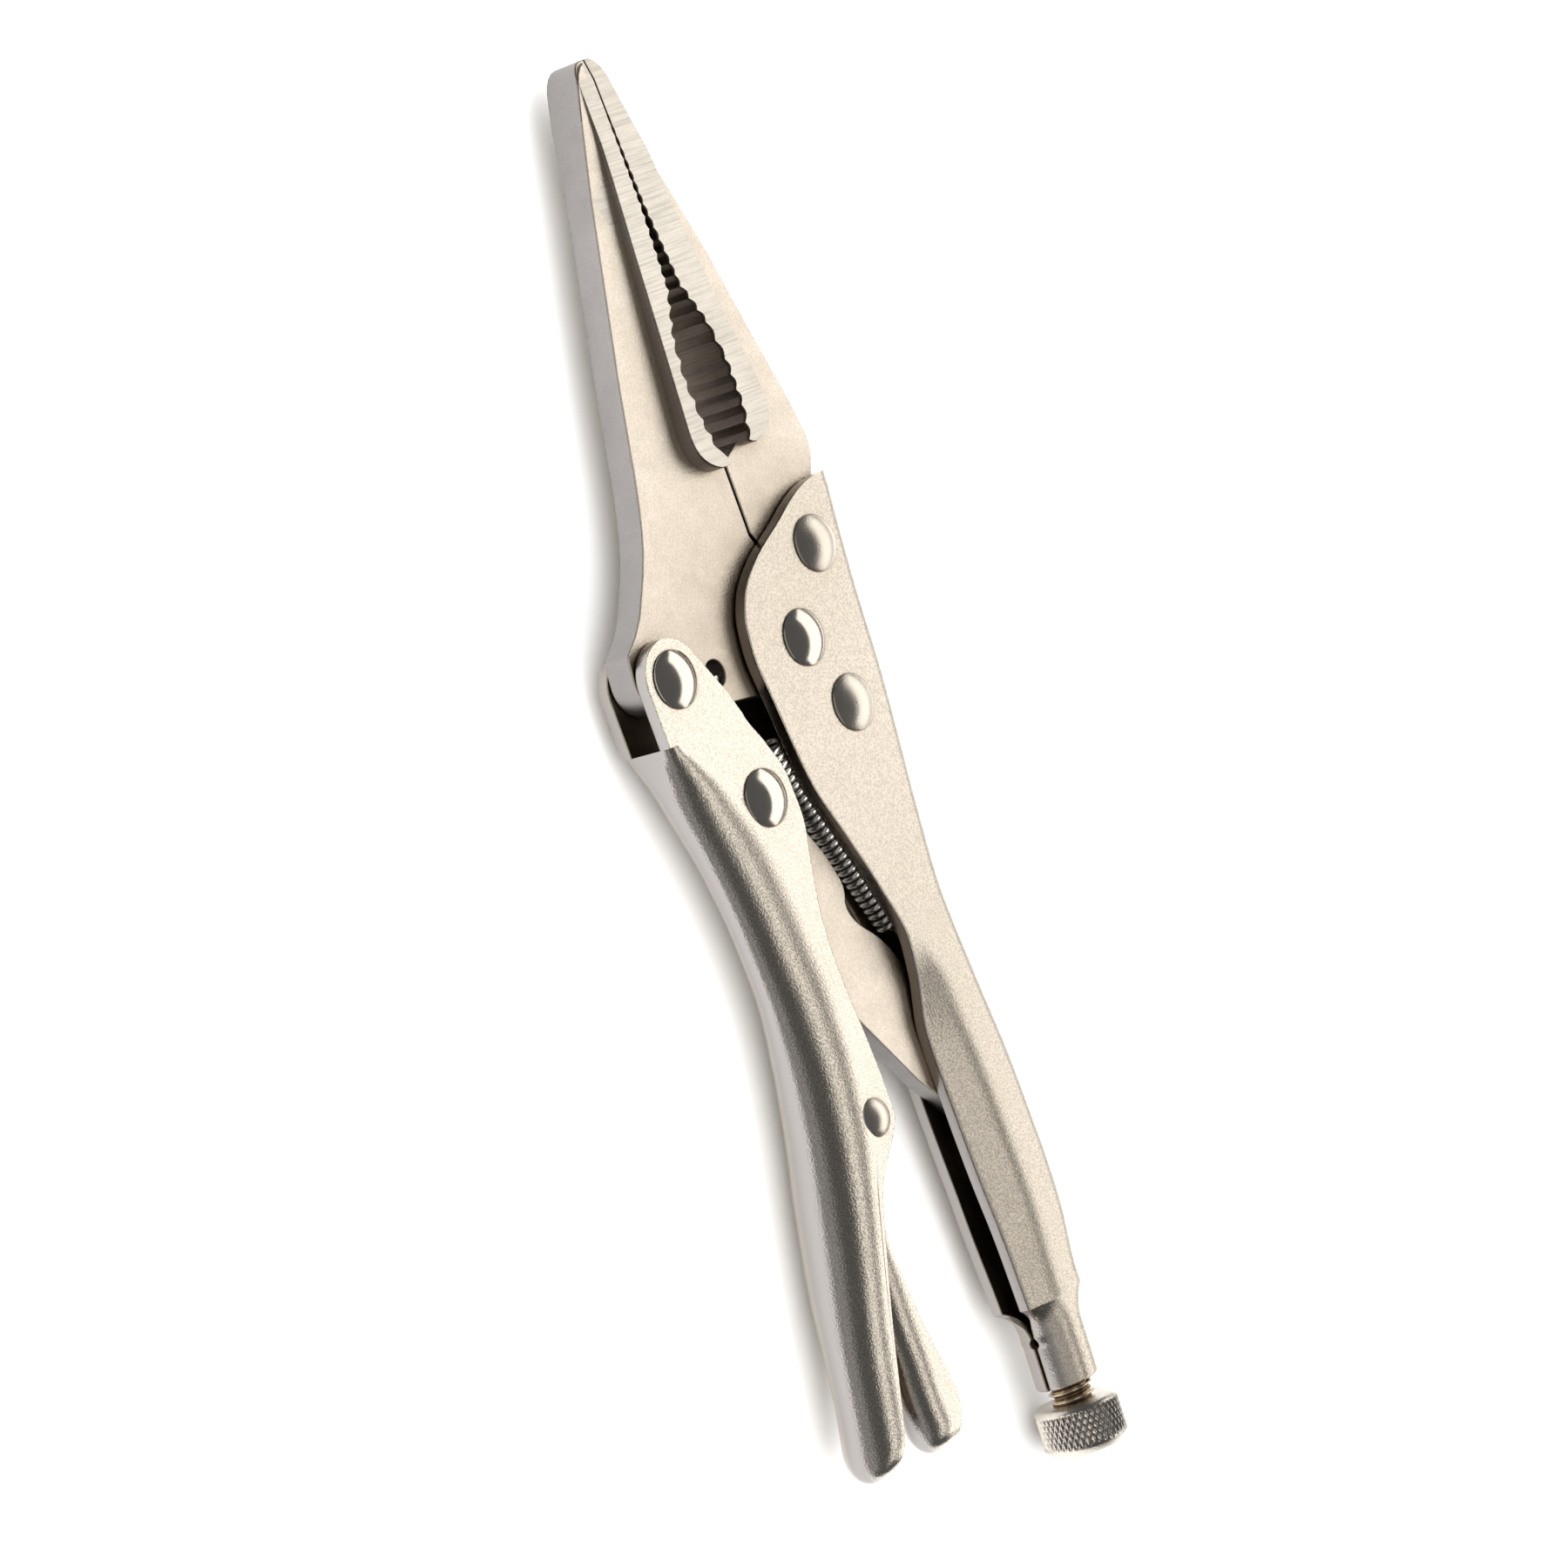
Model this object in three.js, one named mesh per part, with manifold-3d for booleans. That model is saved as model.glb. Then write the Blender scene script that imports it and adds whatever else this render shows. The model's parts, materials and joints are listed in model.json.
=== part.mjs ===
// Long-nose locking pliers, jaws closed and locked. Millimetres, +Y to the jaw tips,
// +X to the side of the fixed handle, +Z up out of the side plates, lying on a bench.
import * as THREE from "three";
import { mergeVertices } from "three/addons/utils/BufferGeometryUtils.js";
import Module from "manifold-3d";

const wasm = await Module();
wasm.setup();

// Where the middle of the tool's own frame stands in the part's frame.
const BENCH_OFFSET = new THREE.Vector3(3.17, 1.5, 8.425);

// Pivots of the toggle linkage, in the tool's own frame.
const JAW_PIVOT = [10.4, 20.2];
const HANDLE_PIVOT = [-20.6, 22.7];
const LINK_PIVOT = [-10.6, 0.2];
const LINK_END = [17.6, -65];
const LEVER_PIVOT = [-13.9, -51.8];
const JAW_RIVET_FRONT = [20.4, 33];
const JAW_RIVET_REAR = [16.1, 7.6];

// Flat stock.
const WEB = 5.2; // thickness of both jaws
const LINK_PLATE = 3.5;
const SHEET = 2.2; // handle sheet
const LEVER_SHEET = 1.8;
const HALF_FOLD = 5.15; // outer half width of both handles at the jaws
const FIXED_BEND = 4.6; // outer bend radius of the fixed handle

// Jaws.
const TIP_Y = 116;
const PARTING_X = 10.4;
const TIP_GAP = 0.15; // from the parting line to either jaw
const PAD_TIP_HALF = 3.6;
const PAD_BACK_HALF = 5.4;
const PAD_BACK_Y = 49;
const FINE_PITCH = 1.9;
const COARSE_PITCH = 2.7;
const SPRING_HOLE = [-8.9, 20.6];
const SPRING_HOLE_R = 2.2;

// Rivets.
const SHANK_R = 2.5;
const HEAD_R = 4.7;
const HEAD_H = 1.35;
const SMALL_SHANK_R = 1.6;
const SMALL_HEAD_R = 3.1;
const RIVET_FIT = 0.2; // clearance round a shank
const HEAD_GAP = 0.25; // under a head

// Adjusting screw.
const SCREW_LEAN = THREE.MathUtils.degToRad(3.6);
const SCREW_R = 3.75;
const THREAD_PITCH = 1.5;
const THREAD_DEPTH = 0.55;
const LINK_END_R = 3.4;
const OPEN_PIVOT_GAP = 2; // between the link's end and the tip of the screw
const KNOB_TOP = 45.4; // along the screw, from the link's end pivot
const KNOB_R = 7;
const KNOB_H = 8.4;
const COLLAR_R = 5.25;
const COLLAR_BORE_R = 4.05;
const COLLAR_START = -98.5;
const COLLAR_END = -107;
const SEAM_HALF = 0.25;

// Spring.
const SPRING_TOP = [-0.6, 6.5];
const SPRING_BOTTOM = [12.2, -27.5];
const COIL_R = 2.05;
const WIRE_R = 0.45;
const COILS = 28;
const SPRING_ANCHOR = [22.4, -34];

const NICKEL = { color: 0xb9b2a6, roughness: 0.42, metalness: 0.9 };
const SIDE_NICKEL = { color: 0xa79f96, roughness: 0.5, metalness: 0.85 };
const POLISHED = { color: 0xc9c6c0, roughness: 0.15, metalness: 1 };
const SPRING_STEEL = { color: 0x6b6a66, roughness: 0.3, metalness: 1 };

// ---- solids ----

function manifoldOf(geometry) {
  const bare = new THREE.BufferGeometry();
  bare.setAttribute("position", geometry.getAttribute("position"));
  if (geometry.index) bare.setIndex(geometry.index);
  const merged = mergeVertices(bare, 1e-4);
  const corners = Array.from(merged.index.array);
  const kept = [];
  for (let i = 0; i < corners.length; i += 3) {
    const [a, b, c] = corners.slice(i, i + 3);
    if (a !== b && b !== c && c !== a) kept.push(a, b, c);
  }
  const vertProperties = new Float32Array(merged.attributes.position.array);
  const triVerts = new Uint32Array(kept);
  return new wasm.Manifold(new wasm.Mesh({ numProp: 3, vertProperties, triVerts }));
}

function prism(shape, bottom, top, curveSegments = 10) {
  const depth = top - bottom;
  const geometry = new THREE.ExtrudeGeometry(shape, { depth, bevelEnabled: false, curveSegments });
  return manifoldOf(geometry.translate(0, 0, bottom));
}

// A prism along X whose outline is drawn in Y and Z.
function crossPrism(shape, left, right, curveSegments = 10) {
  const depth = right - left;
  const geometry = new THREE.ExtrudeGeometry(shape, { depth, bevelEnabled: false, curveSegments });
  const turn = new THREE.Matrix4().makeBasis(
    new THREE.Vector3(0, 1, 0),
    new THREE.Vector3(0, 0, 1),
    new THREE.Vector3(1, 0, 0),
  );
  return manifoldOf(geometry.applyMatrix4(turn).translate(left, 0, 0));
}

function disc([x, y], radius, half, segments = 20) {
  const shape = new THREE.Shape();
  shape.absarc(x, y, radius, 0, 2 * Math.PI);
  return prism(shape, -half, half, segments);
}

function outline(points) {
  return new THREE.Shape(points.map(([x, y]) => new THREE.Vector2(x, y)));
}

// Closed skin through rings of equal length, with flat ends.
function loft(rings) {
  const n = rings[0].length;
  const points = rings.flat();
  const faces = [];
  for (let k = 0; k + 1 < rings.length; k++) {
    for (let i = 0; i < n; i++) {
      const a = k * n + i;
      const b = k * n + ((i + 1) % n);
      faces.push(a, b, b + n, a, b + n, a + n);
    }
  }
  const last = (rings.length - 1) * n;
  for (let i = 1; i + 1 < n; i++) {
    faces.push(0, i + 1, i, last, last + i, last + i + 1);
  }
  if (signedVolume(points, faces) < 0) faces.reverse();
  const geometry = new THREE.BufferGeometry().setFromPoints(points);
  return manifoldOf(geometry.setIndex(faces));
}

function signedVolume(points, faces) {
  let sum = 0;
  for (let i = 0; i < faces.length; i += 3) {
    const [a, b, c] = [points[faces[i]], points[faces[i + 1]], points[faces[i + 2]]];
    sum += a.dot(new THREE.Vector3().crossVectors(b, c));
  }
  return sum;
}

// Smooth value along Y through stops of [y, value], without overshoot.
function along(stops) {
  const s = [...stops].sort((a, b) => a[0] - b[0]);
  const slope = s.map((p, i) => {
    if (i === 0 || i === s.length - 1) return 0;
    const before = (p[1] - s[i - 1][1]) / (p[0] - s[i - 1][0]);
    const after = (s[i + 1][1] - p[1]) / (s[i + 1][0] - p[0]);
    return before * after <= 0 ? 0 : (2 * before * after) / (before + after);
  });
  return (y) => {
    if (y <= s[0][0]) return s[0][1];
    const i = s.findIndex((p) => p[0] >= y);
    if (i < 0) return s[s.length - 1][1];
    const h = s[i][0] - s[i - 1][0];
    const t = (y - s[i - 1][0]) / h;
    const a = (1 + 2 * t) * (1 - t) ** 2 * s[i - 1][1] + t * t * (3 - 2 * t) * s[i][1];
    return a + h * (t * (1 - t) ** 2 * slope[i - 1] + t * t * (t - 1) * slope[i]);
  };
}

function steps(from, to, count) {
  return Array.from({ length: count + 1 }, (_, i) => from + ((to - from) * i) / count);
}

// Section of a folded sheet at height y: open lips at `lip`, rounded spine at `spine`.
// `half` is the half width, `mouth` the half width at the lips, `roll` how far in the lips
// start to curl, and `bend` the spine's radius, or with `reach` how far its ellipse reaches in.
function section({ y, lip, spine, half, mouth, roll, bend, reach = bend, n = 4 }) {
  const way = Math.sign(spine - lip);
  const curl = Math.min(roll, Math.abs(spine - lip) / 2);
  const r = Math.min(bend, half - 0.05);
  const rx = Math.min(reach, Math.abs(spine - lip) - curl - 0.05);
  const upper = [];
  for (const t of steps(0, Math.PI / 2, n)) {
    const z = mouth + (half - mouth) * Math.sin(t);
    upper.push([lip + way * curl * (1 - Math.cos(t)), z]);
  }
  for (const t of steps(Math.PI / 2, 0, n)) {
    upper.push([spine - way * rx * (1 - Math.cos(t)), half - r + r * Math.sin(t)]);
  }
  const lower = upper.map(([x, z]) => [x, -z]).reverse();
  return [...upper, ...lower].map(([x, z]) => new THREE.Vector3(x, y, z));
}

function mesh(name, manifold, finish) {
  const { vertProperties, triVerts } = manifold.getMesh();
  const geometry = new THREE.BufferGeometry();
  geometry.setAttribute("position", new THREE.BufferAttribute(vertProperties, 3));
  geometry.setIndex(new THREE.BufferAttribute(triVerts, 1));
  geometry.computeVertexNormals();
  const made = new THREE.Mesh(geometry, new THREE.MeshStandardMaterial(finish));
  made.name = name;
  return made;
}

// ---- jaws ----

// Teeth between two corners of a jaw's gripping edge; the hollows go `depth` to the side `way`.
function teeth(from, to, pitch, depth, way) {
  const run = Math.hypot(to[0] - from[0], to[1] - from[1]);
  const count = Math.round(run / pitch);
  const points = [];
  for (let i = 0; i < count; i++) {
    const at = (t) => [from[0] + (to[0] - from[0]) * t, from[1] + (to[1] - from[1]) * t];
    const hollow = at((i + 0.5) / count);
    points.push(at(i / count), [hollow[0] + way * depth, hollow[1]]);
  }
  return points;
}

// The gripping edge of one jaw from the tip down to the bottom of the pipe grip.
// `way` is -1 for the moving jaw and +1 for the fixed jaw.
function grippingEdge(way) {
  const tip = PARTING_X + way * TIP_GAP;
  const grip = way < 0
    ? [[9.2, 78], [6.3, 70.5], [5.4, 64], [5.8, 57.5], [6.9, 52.2]]
    : [[11.6, 78], [14.2, 71.5], [15.3, 65], [15.1, 57.5], [13.8, 52]];
  const edge = [[tip, TIP_Y], ...teeth([tip, 112.5], [tip, 100], FINE_PITCH, 0.4, way)];
  edge.push(...teeth([tip, 100], grip[0], FINE_PITCH, 0.4, way));
  for (let i = 0; i + 1 < grip.length; i++) {
    edge.push(...teeth(grip[i], grip[i + 1], COARSE_PITCH, 0.75, way));
  }
  edge.push(grip[grip.length - 1]);
  return edge;
}

// The raised gripping faces taper from the back of the teeth to the tip.
function padWedge() {
  const side = [
    [TIP_Y + 1, 2.7],
    [TIP_Y - 3.5, PAD_TIP_HALF],
    [PAD_BACK_Y - 1, PAD_BACK_HALF],
  ];
  const mirrored = side.map(([y, z]) => [y, -z]).reverse();
  return crossPrism(outline([...side, ...mirrored]), -10, 30);
}

function arcPoints([cx, cy], radius, from, to, count) {
  return steps(from, to, count).map((degrees) => {
    const angle = THREE.MathUtils.degToRad(degrees);
    return [cx + radius * Math.cos(angle), cy + radius * Math.sin(angle)];
  });
}

function movingJaw() {
  const edge = grippingEdge(-1);
  const web = outline([
    ...edge,
    [9.35, 50], [9.35, 38],
    ...arcPoints(JAW_PIVOT, 8, 62, -90, 9),
    [-1, 14.6], [-13, 16.2],
    ...arcPoints([-21.2, 24], 5.5, -80, -190, 6),
    [-26.2, 28.5], [-23, 30.9], [-18.6, 36.2], [-15, 42], [-12.4, 48.4], [-9.9, 57],
    [-6.9, 68], [1.2, 95], [4.6, 107], [7, 114], [8.2, 115.6],
  ]);
  const pad = outline([
    ...edge,
    [8.6, 49.6], [7.2, 49.3], [4.6, 50], [2.6, 51.6], [1.5, 54], [1.5, 57], [2.8, 68.5],
    [4.6, 85], [6.6, 102.5], [6.4, 111.5], [7, 114], [8.2, 115.6],
  ]);
  return prism(web, -WEB / 2, WEB / 2)
    .add(prism(pad, -6, 6).intersect(padWedge()))
    .subtract(disc(JAW_PIVOT, SHANK_R + RIVET_FIT, 9))
    .subtract(disc(HANDLE_PIVOT, SHANK_R + RIVET_FIT, 9))
    .subtract(disc(SPRING_HOLE, SPRING_HOLE_R, 9));
}

function fixedJaw() {
  const edge = grippingEdge(1);
  const web = outline([
    ...edge,
    [9.8, 50], [9.8, 38.4],
    ...arcPoints(JAW_PIVOT, 9.4, 50, -62, 8),
    [12.2, 9], [11.4, 5], [11.8, 1.4], [14, -1.2], [19.6, -1.2], [22, 0.6],
    [23.2, 4], [24.2, 12], [25.1, 23], [26.2, 33], [27.4, 42.2],
    [29.2, 44.4], [30.4, 47], [30.4, 49.6], [28.8, 57.5], [26, 68.5], [23, 81.3],
    [19, 94.6], [15.6, 103.4], [14.3, 110], [13.7, 113.6], [12.4, 115.6],
  ]);
  const pad = outline([
    ...edge,
    [15.6, 51.3], [18.6, 52.4], [20.6, 54.2], [21.4, 57], [21.2, 60], [18.6, 77.5],
    [17.3, 90], [16.5, 100.4], [15.6, 103.4], [14.3, 110], [13.7, 113.6], [12.4, 115.6],
  ]);
  return prism(web, -WEB / 2, WEB / 2)
    .add(prism(pad, -6, 6).intersect(padWedge()))
    .subtract(disc(JAW_RIVET_FRONT, SHANK_R + RIVET_FIT, 9))
    .subtract(disc(JAW_RIVET_REAR, SHANK_R + RIVET_FIT, 9));
}

// ---- folded handles and lever ----

const screwAxisX = (y) => LINK_END[0] + Math.tan(SCREW_LEAN) * (y - LINK_END[1]);

// 0 above the neck of the fixed handle, 1 in its rolled collar.
const neck = along([[-92.5, 0], [COLLAR_START, 1]]);

const fixedSpine = along([
  [44, 31.4], [33, 30.2], [23, 29.1], [11, 28.2], [0, 26.8], [-12, 25.1],
  [-28, 23.6], [-40, 23.7], [-52, 24], [-68, 24], [-80, 23.5], [-92, 22.2],
]);
const fixedLip = along([
  [20, -2.1], [14, -1.5], [5, -0.5], [-1, 0.4], [-11, 3.9], [-20, 7], [-30, 9.3],
  [-36, 9.1], [-45, 7.2], [-60, 7], [-92, 7.6],
]);
const fixedHalf = along([[-22, HALF_FOLD], [-44, 6], [-58, 6.6], [-76, 6.7], [-92, 6.1]]);
const fixedMouthInset = along([[-30, 0], [-46, 1.3], [-60, 1.8], [-92, 1.4]]);

// Section of the fixed handle, `inside` for the hollow and not for the outer skin.
function fixedSection(y, inside) {
  const k = neck(y);
  const mix = (open, rolled) => open + (rolled - open) * k;
  const axis = screwAxisX(y);
  const wall = COLLAR_R - COLLAR_BORE_R;
  const out = mix(fixedHalf(y), COLLAR_R);
  const mouth = mix(fixedHalf(y) - fixedMouthInset(y), SEAM_HALF + (inside ? SHEET : 0));
  return section({
    y,
    lip: mix(fixedLip(y), axis - COLLAR_R) + (inside ? mix(0, wall) : 0),
    spine: mix(fixedSpine(y), axis + COLLAR_R) - (inside ? mix(SHEET, wall) : 0),
    half: out - (inside ? mix(SHEET, wall) : 0),
    mouth: inside ? mouth - SHEET : Math.max(mouth, SEAM_HALF),
    roll: mix(6, COLLAR_R),
    bend: mix(FIXED_BEND, COLLAR_R) - (inside ? mix(SHEET, wall) : 0),
  });
}

// The way out of the hollow, between the lips and along the seam of the collar.
function fixedMouth(levels) {
  return loft(
    levels.map((y) => {
      const ring = fixedSection(y, true);
      const half = ring[0].z;
      const reach = ring[0].x + 0.6;
      const corners = [[-12, half], [reach, half], [reach, -half], [-12, -half]];
      return corners.map(([x, z]) => new THREE.Vector3(x, y, z));
    }),
  );
}

function fixedHandle() {
  const levels = [...steps(44, -92, 30), ...steps(-93.5, COLLAR_START, 4), COLLAR_END];
  const skin = loft(levels.map((y) => fixedSection(y, false)));
  const inner = [46, ...levels.slice(1, -1), COLLAR_END - 1];
  const hollow = loft(inner.map((y) => fixedSection(y, true)));
  const [ax, ay] = SPRING_ANCHOR;
  const anchor = new THREE.CylinderGeometry(1, 1, 9, 12).rotateZ(Math.PI / 2);
  const seamTop = new THREE.CylinderGeometry(0.8, 0.8, 6, 12).rotateZ(Math.PI / 2);
  const mouthX = screwAxisX(COLLAR_START) - COLLAR_R;
  const top = new THREE.Shape();
  top.moveTo(-15, -120);
  top.lineTo(-15, 20);
  top.lineTo(-2.1, 20);
  top.splineThru([
    new THREE.Vector2(-1.4, 25.4), new THREE.Vector2(1.1, 30.4), new THREE.Vector2(6.2, 34.6),
    new THREE.Vector2(13.8, 38.4), new THREE.Vector2(19.8, 41.4), new THREE.Vector2(24.6, 42.8),
  ]);
  top.lineTo(40, 43);
  top.lineTo(40, -120);
  return skin
    .subtract(hollow)
    .subtract(fixedMouth(inner))
    .intersect(prism(top, -20, 20, 3))
    .subtract(manifoldOf(anchor.translate(ax, ay, 0)))
    .subtract(manifoldOf(seamTop.translate(mouthX, COLLAR_START - 0.4, 0)))
    .subtract(disc(JAW_PIVOT, SHANK_R + RIVET_FIT, 9))
    .subtract(disc(JAW_RIVET_FRONT, SHANK_R + RIVET_FIT, 9))
    .subtract(disc(JAW_RIVET_REAR, SHANK_R + RIVET_FIT, 9));
}

const NOTCH_Y = 13.5; // the moving handle's spine stops here
const HANDLE_END = -103;
const HANDLE_END_R = 5.3;

const movingSpine = along([
  [14, -27.1], [5, -26], [-7, -23.2], [-18, -21.7], [-28, -21.3], [-38, -22.4],
  [-50, -25], [-62, -28.6], [-76, -32.5], [-90, -35.4], [-106, -38.6],
]);
const movingLip = along([
  [14, -8.8], [8, -6.2], [2, -4], [-4, -3.8], [-12, -5.7], [-21, -7.8], [-30, -8.5],
  [-46, -8.9], [-53, -9.4], [-57, -13], [-61, -17], [-66, -19.6], [-77, -23.6],
  [-90, -27.6], [-99, -31], [-106, -34],
]);
const movingHalf = along([[-22, HALF_FOLD], [-46, 6.6], [-57, 7], [-68, 6.8], [-92, 5.4]]);
// The spine is a half ellipse below the notch: how far it reaches in, and its half height.
const movingReach = along([
  [13.5, 1.4], [11, 4.5], [4, 8], [-10, 9.5], [-30, 9.5], [-50, 8.5], [-66, 6.6], [-104, 6],
]);
const movingBend = along([[13.5, 1.4], [11, 3.6], [6, 5], [-20, 5.1], [-46, 6.4], [-57, 6.8]]);

// How far a section has closed in on the rounded end, from 1 to 0.
function endRound(y, end, radius) {
  const u = Math.max(0, (end + radius - y) / radius);
  return Math.sqrt(Math.max(0, 1 - u * u));
}

function movingSection(y, inside) {
  const sheet = inside ? SHEET : 0;
  const round = endRound(y, HANDLE_END + sheet, HANDLE_END_R - sheet);
  const spine = movingSpine(y) + sheet + 2.2 * (1 - round);
  return section({
    y,
    lip: movingLip(y) + (inside ? 4 : 0),
    spine,
    half: Math.max((movingHalf(y) - sheet) * round, 0.3),
    mouth: Math.max((movingHalf(y) - sheet) * round, 0.3),
    roll: 0.5,
    bend: Math.max(movingBend(y) - sheet, 0.3) * Math.max(round, 0.1),
    reach: Math.max(movingReach(y) - sheet, 0.3),
    n: 6,
  });
}

function roundedLevels(end, radius) {
  return steps(0, 80, 6).map((degrees) => {
    return end + radius * (1 - Math.sin(THREE.MathUtils.degToRad(degrees)));
  });
}

function movingHandle() {
  const straight = [NOTCH_Y, 12.2, ...steps(11, HANDLE_END + HANDLE_END_R + 3, 27)];
  const outer = [...straight, ...roundedLevels(HANDLE_END, HANDLE_END_R)];
  const endIn = HANDLE_END + SHEET;
  const inner = [34, 20, ...straight, ...roundedLevels(endIn, HANDLE_END_R - SHEET)];
  const [px, py] = HANDLE_PIVOT;
  const lobe = new THREE.Shape();
  lobe.moveTo(-27.1, NOTCH_Y + 0.2);
  lobe.absarc(px, py, 6.5, Math.PI, Math.PI / 7, true);
  lobe.lineTo(-10.4, 17.6);
  lobe.lineTo(movingLip(7.5), 7.5);
  lobe.lineTo(-18, 7.5);
  lobe.lineTo(-21.5, 10.5);
  lobe.lineTo(-24.4, 12.6);
  const notch = outline([
    [-40, NOTCH_Y], [-25, NOTCH_Y - 0.4], [-23.4, NOTCH_Y + 0.8], [-20, 16], [0, 16], [0, 40], [-40, 40],
  ]);
  return loft(outer.map((y) => movingSection(y, false)))
    .add(prism(lobe, -HALF_FOLD, HALF_FOLD, 10))
    .subtract(loft(inner.map((y) => movingSection(y, true))))
    .subtract(prism(notch, SHEET - HALF_FOLD, HALF_FOLD - SHEET))
    .subtract(disc(HANDLE_PIVOT, SHANK_R + RIVET_FIT, 9))
    .subtract(disc(LINK_PIVOT, SHANK_R + RIVET_FIT, 9))
    .subtract(disc(LEVER_PIVOT, SMALL_SHANK_R + RIVET_FIT, 9));
}

const LEVER_TOP = -29;
const LEVER_END = -104.4;
const LEVER_END_R = 4.2;

const leverSpine = along([
  [-29, -14.8], [-40, -17.2], [-52, -19.6], [-62, -20.9], [-74, -21.8], [-88, -22.4],
  [-96, -23.2], [-104, -23],
]);
const leverLip = along([
  [-29, -11], [-36, -11.6], [-45, -11.4], [-52, -10.2], [-58, -13], [-64, -16.3],
  [-70, -17.2], [-78, -16.7], [-90, -15.3], [-97, -14.6], [-104, -16.4],
]);
const leverHalf = along([
  [-29, 2.6], [-40, 3.4], [-50, 4], [-62, 4.1], [-72, 3.7], [-84, 3.5], [-95, 4], [-104, 4.2],
]);

function leverSection(y, inside) {
  const sheet = inside ? LEVER_SHEET : 0;
  const round = endRound(y, LEVER_END + sheet, LEVER_END_R - sheet);
  const half = Math.max((leverHalf(y) - sheet) * round, 0.3);
  return section({
    y,
    lip: leverLip(y) + (inside ? 2 : 0),
    spine: leverSpine(y) + sheet + 2 * (1 - round),
    half,
    mouth: half,
    roll: 0.4,
    bend: Math.max((2.9 - sheet) * round, 0.25),
    n: 3,
  });
}

function releaseLever() {
  const straight = steps(LEVER_TOP, LEVER_END + LEVER_END_R + 2, 18);
  const outer = [...straight, ...roundedLevels(LEVER_END, LEVER_END_R)];
  const endIn = LEVER_END + LEVER_SHEET;
  const inner = [...straight.slice(1), ...roundedLevels(endIn, LEVER_END_R - LEVER_SHEET)];
  return loft(outer.map((y) => leverSection(y, false)))
    .subtract(loft(inner.map((y) => leverSection(y, true))))
    .subtract(disc(LEVER_PIVOT, SMALL_SHANK_R + RIVET_FIT, 9));
}

// ---- link, rivets, screw and spring ----

function toggleLink() {
  const shape = outline([
    ...arcPoints(LINK_PIVOT, 5, 190, 20, 8),
    [-3, -4], [-0.2, -8.9], [2.6, -15.8], [3.1, -18.4], [2.2, -20.6], [2.2, -22.8], [3.4, -25],
    [5.9, -27.2], [8.4, -30.5], [12.4, -39], [17.6, -53], [20.6, -63],
    ...arcPoints(LINK_END, LINK_END_R, 10, -150, 7),
    [12, -61], [3.9, -51.4], [-4.1, -38.7], [-9, -29], [-13.6, -16],
  ]);
  return prism(shape, -LINK_PLATE / 2, LINK_PLATE / 2)
    .subtract(disc(LINK_PIVOT, SHANK_R + RIVET_FIT, 9));
}

function rivet([x, y], half, shank, head, height) {
  const seat = half + HEAD_GAP;
  const rim = seat + 0.35 * height;
  const dome = steps(90, 0, 3).map((degrees) => {
    const angle = THREE.MathUtils.degToRad(degrees);
    const rise = seat + height - rim;
    return new THREE.Vector2(0.94 * head * Math.cos(angle), rim + rise * Math.sin(angle));
  });
  const upper = [
    new THREE.Vector2(shank, seat),
    new THREE.Vector2(head, seat),
    new THREE.Vector2(head, rim - 0.1),
    ...dome.reverse(),
  ];
  upper[upper.length - 1].x = 0;
  const lower = upper.map((p) => new THREE.Vector2(p.x, -p.y)).reverse();
  return manifoldOf(new THREE.LatheGeometry([...lower, ...upper], 18).rotateX(Math.PI / 2))
    .translate([x, y, 0]);
}

// A solid of revolution about the screw; its profile's second number runs from the link's
// end pivot towards the knob.
function onScrewAxis(profile, segments) {
  const points = profile.map(([r, s]) => new THREE.Vector2(r, -s)).reverse();
  const geometry = new THREE.LatheGeometry(points, segments).rotateZ(-SCREW_LEAN);
  return manifoldOf(geometry.translate(LINK_END[0], LINK_END[1], 0));
}

const SCREW_TIP = LINK_END_R + OPEN_PIVOT_GAP;

function adjustingScrew() {
  const profile = [[0, SCREW_TIP], [1.8, SCREW_TIP + 0.3], [3, SCREW_TIP + 1.4]];
  const threadEnd = KNOB_TOP - 1;
  const turns = Math.floor((threadEnd - SCREW_TIP - 2) / THREAD_PITCH);
  for (let i = 0; i < turns; i++) {
    const s = SCREW_TIP + 2 + i * THREAD_PITCH;
    profile.push([SCREW_R - THREAD_DEPTH, s], [SCREW_R, s + THREAD_PITCH / 2]);
  }
  profile.push([SCREW_R - THREAD_DEPTH, SCREW_TIP + 2 + turns * THREAD_PITCH]);
  profile.push([SCREW_R - THREAD_DEPTH, KNOB_TOP - 0.3], [2.4, KNOB_TOP - 0.3]);
  profile.push([2.4, KNOB_TOP + 4.5], [0, KNOB_TOP + 4.5]);
  return onScrewAxis(profile, 14);
}

function knurledKnob() {
  const top = KNOB_TOP;
  const end = KNOB_TOP + KNOB_H;
  return onScrewAxis(
    [
      [0, top + 4.8], [2.7, top + 4.8], [2.7, top], [KNOB_R - 0.8, top], [KNOB_R, top + 0.9],
      [KNOB_R, end - 2.2], [KNOB_R - 1.3, end - 0.3], [KNOB_R - 2, end], [0, end],
    ],
    28,
  );
}

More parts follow.
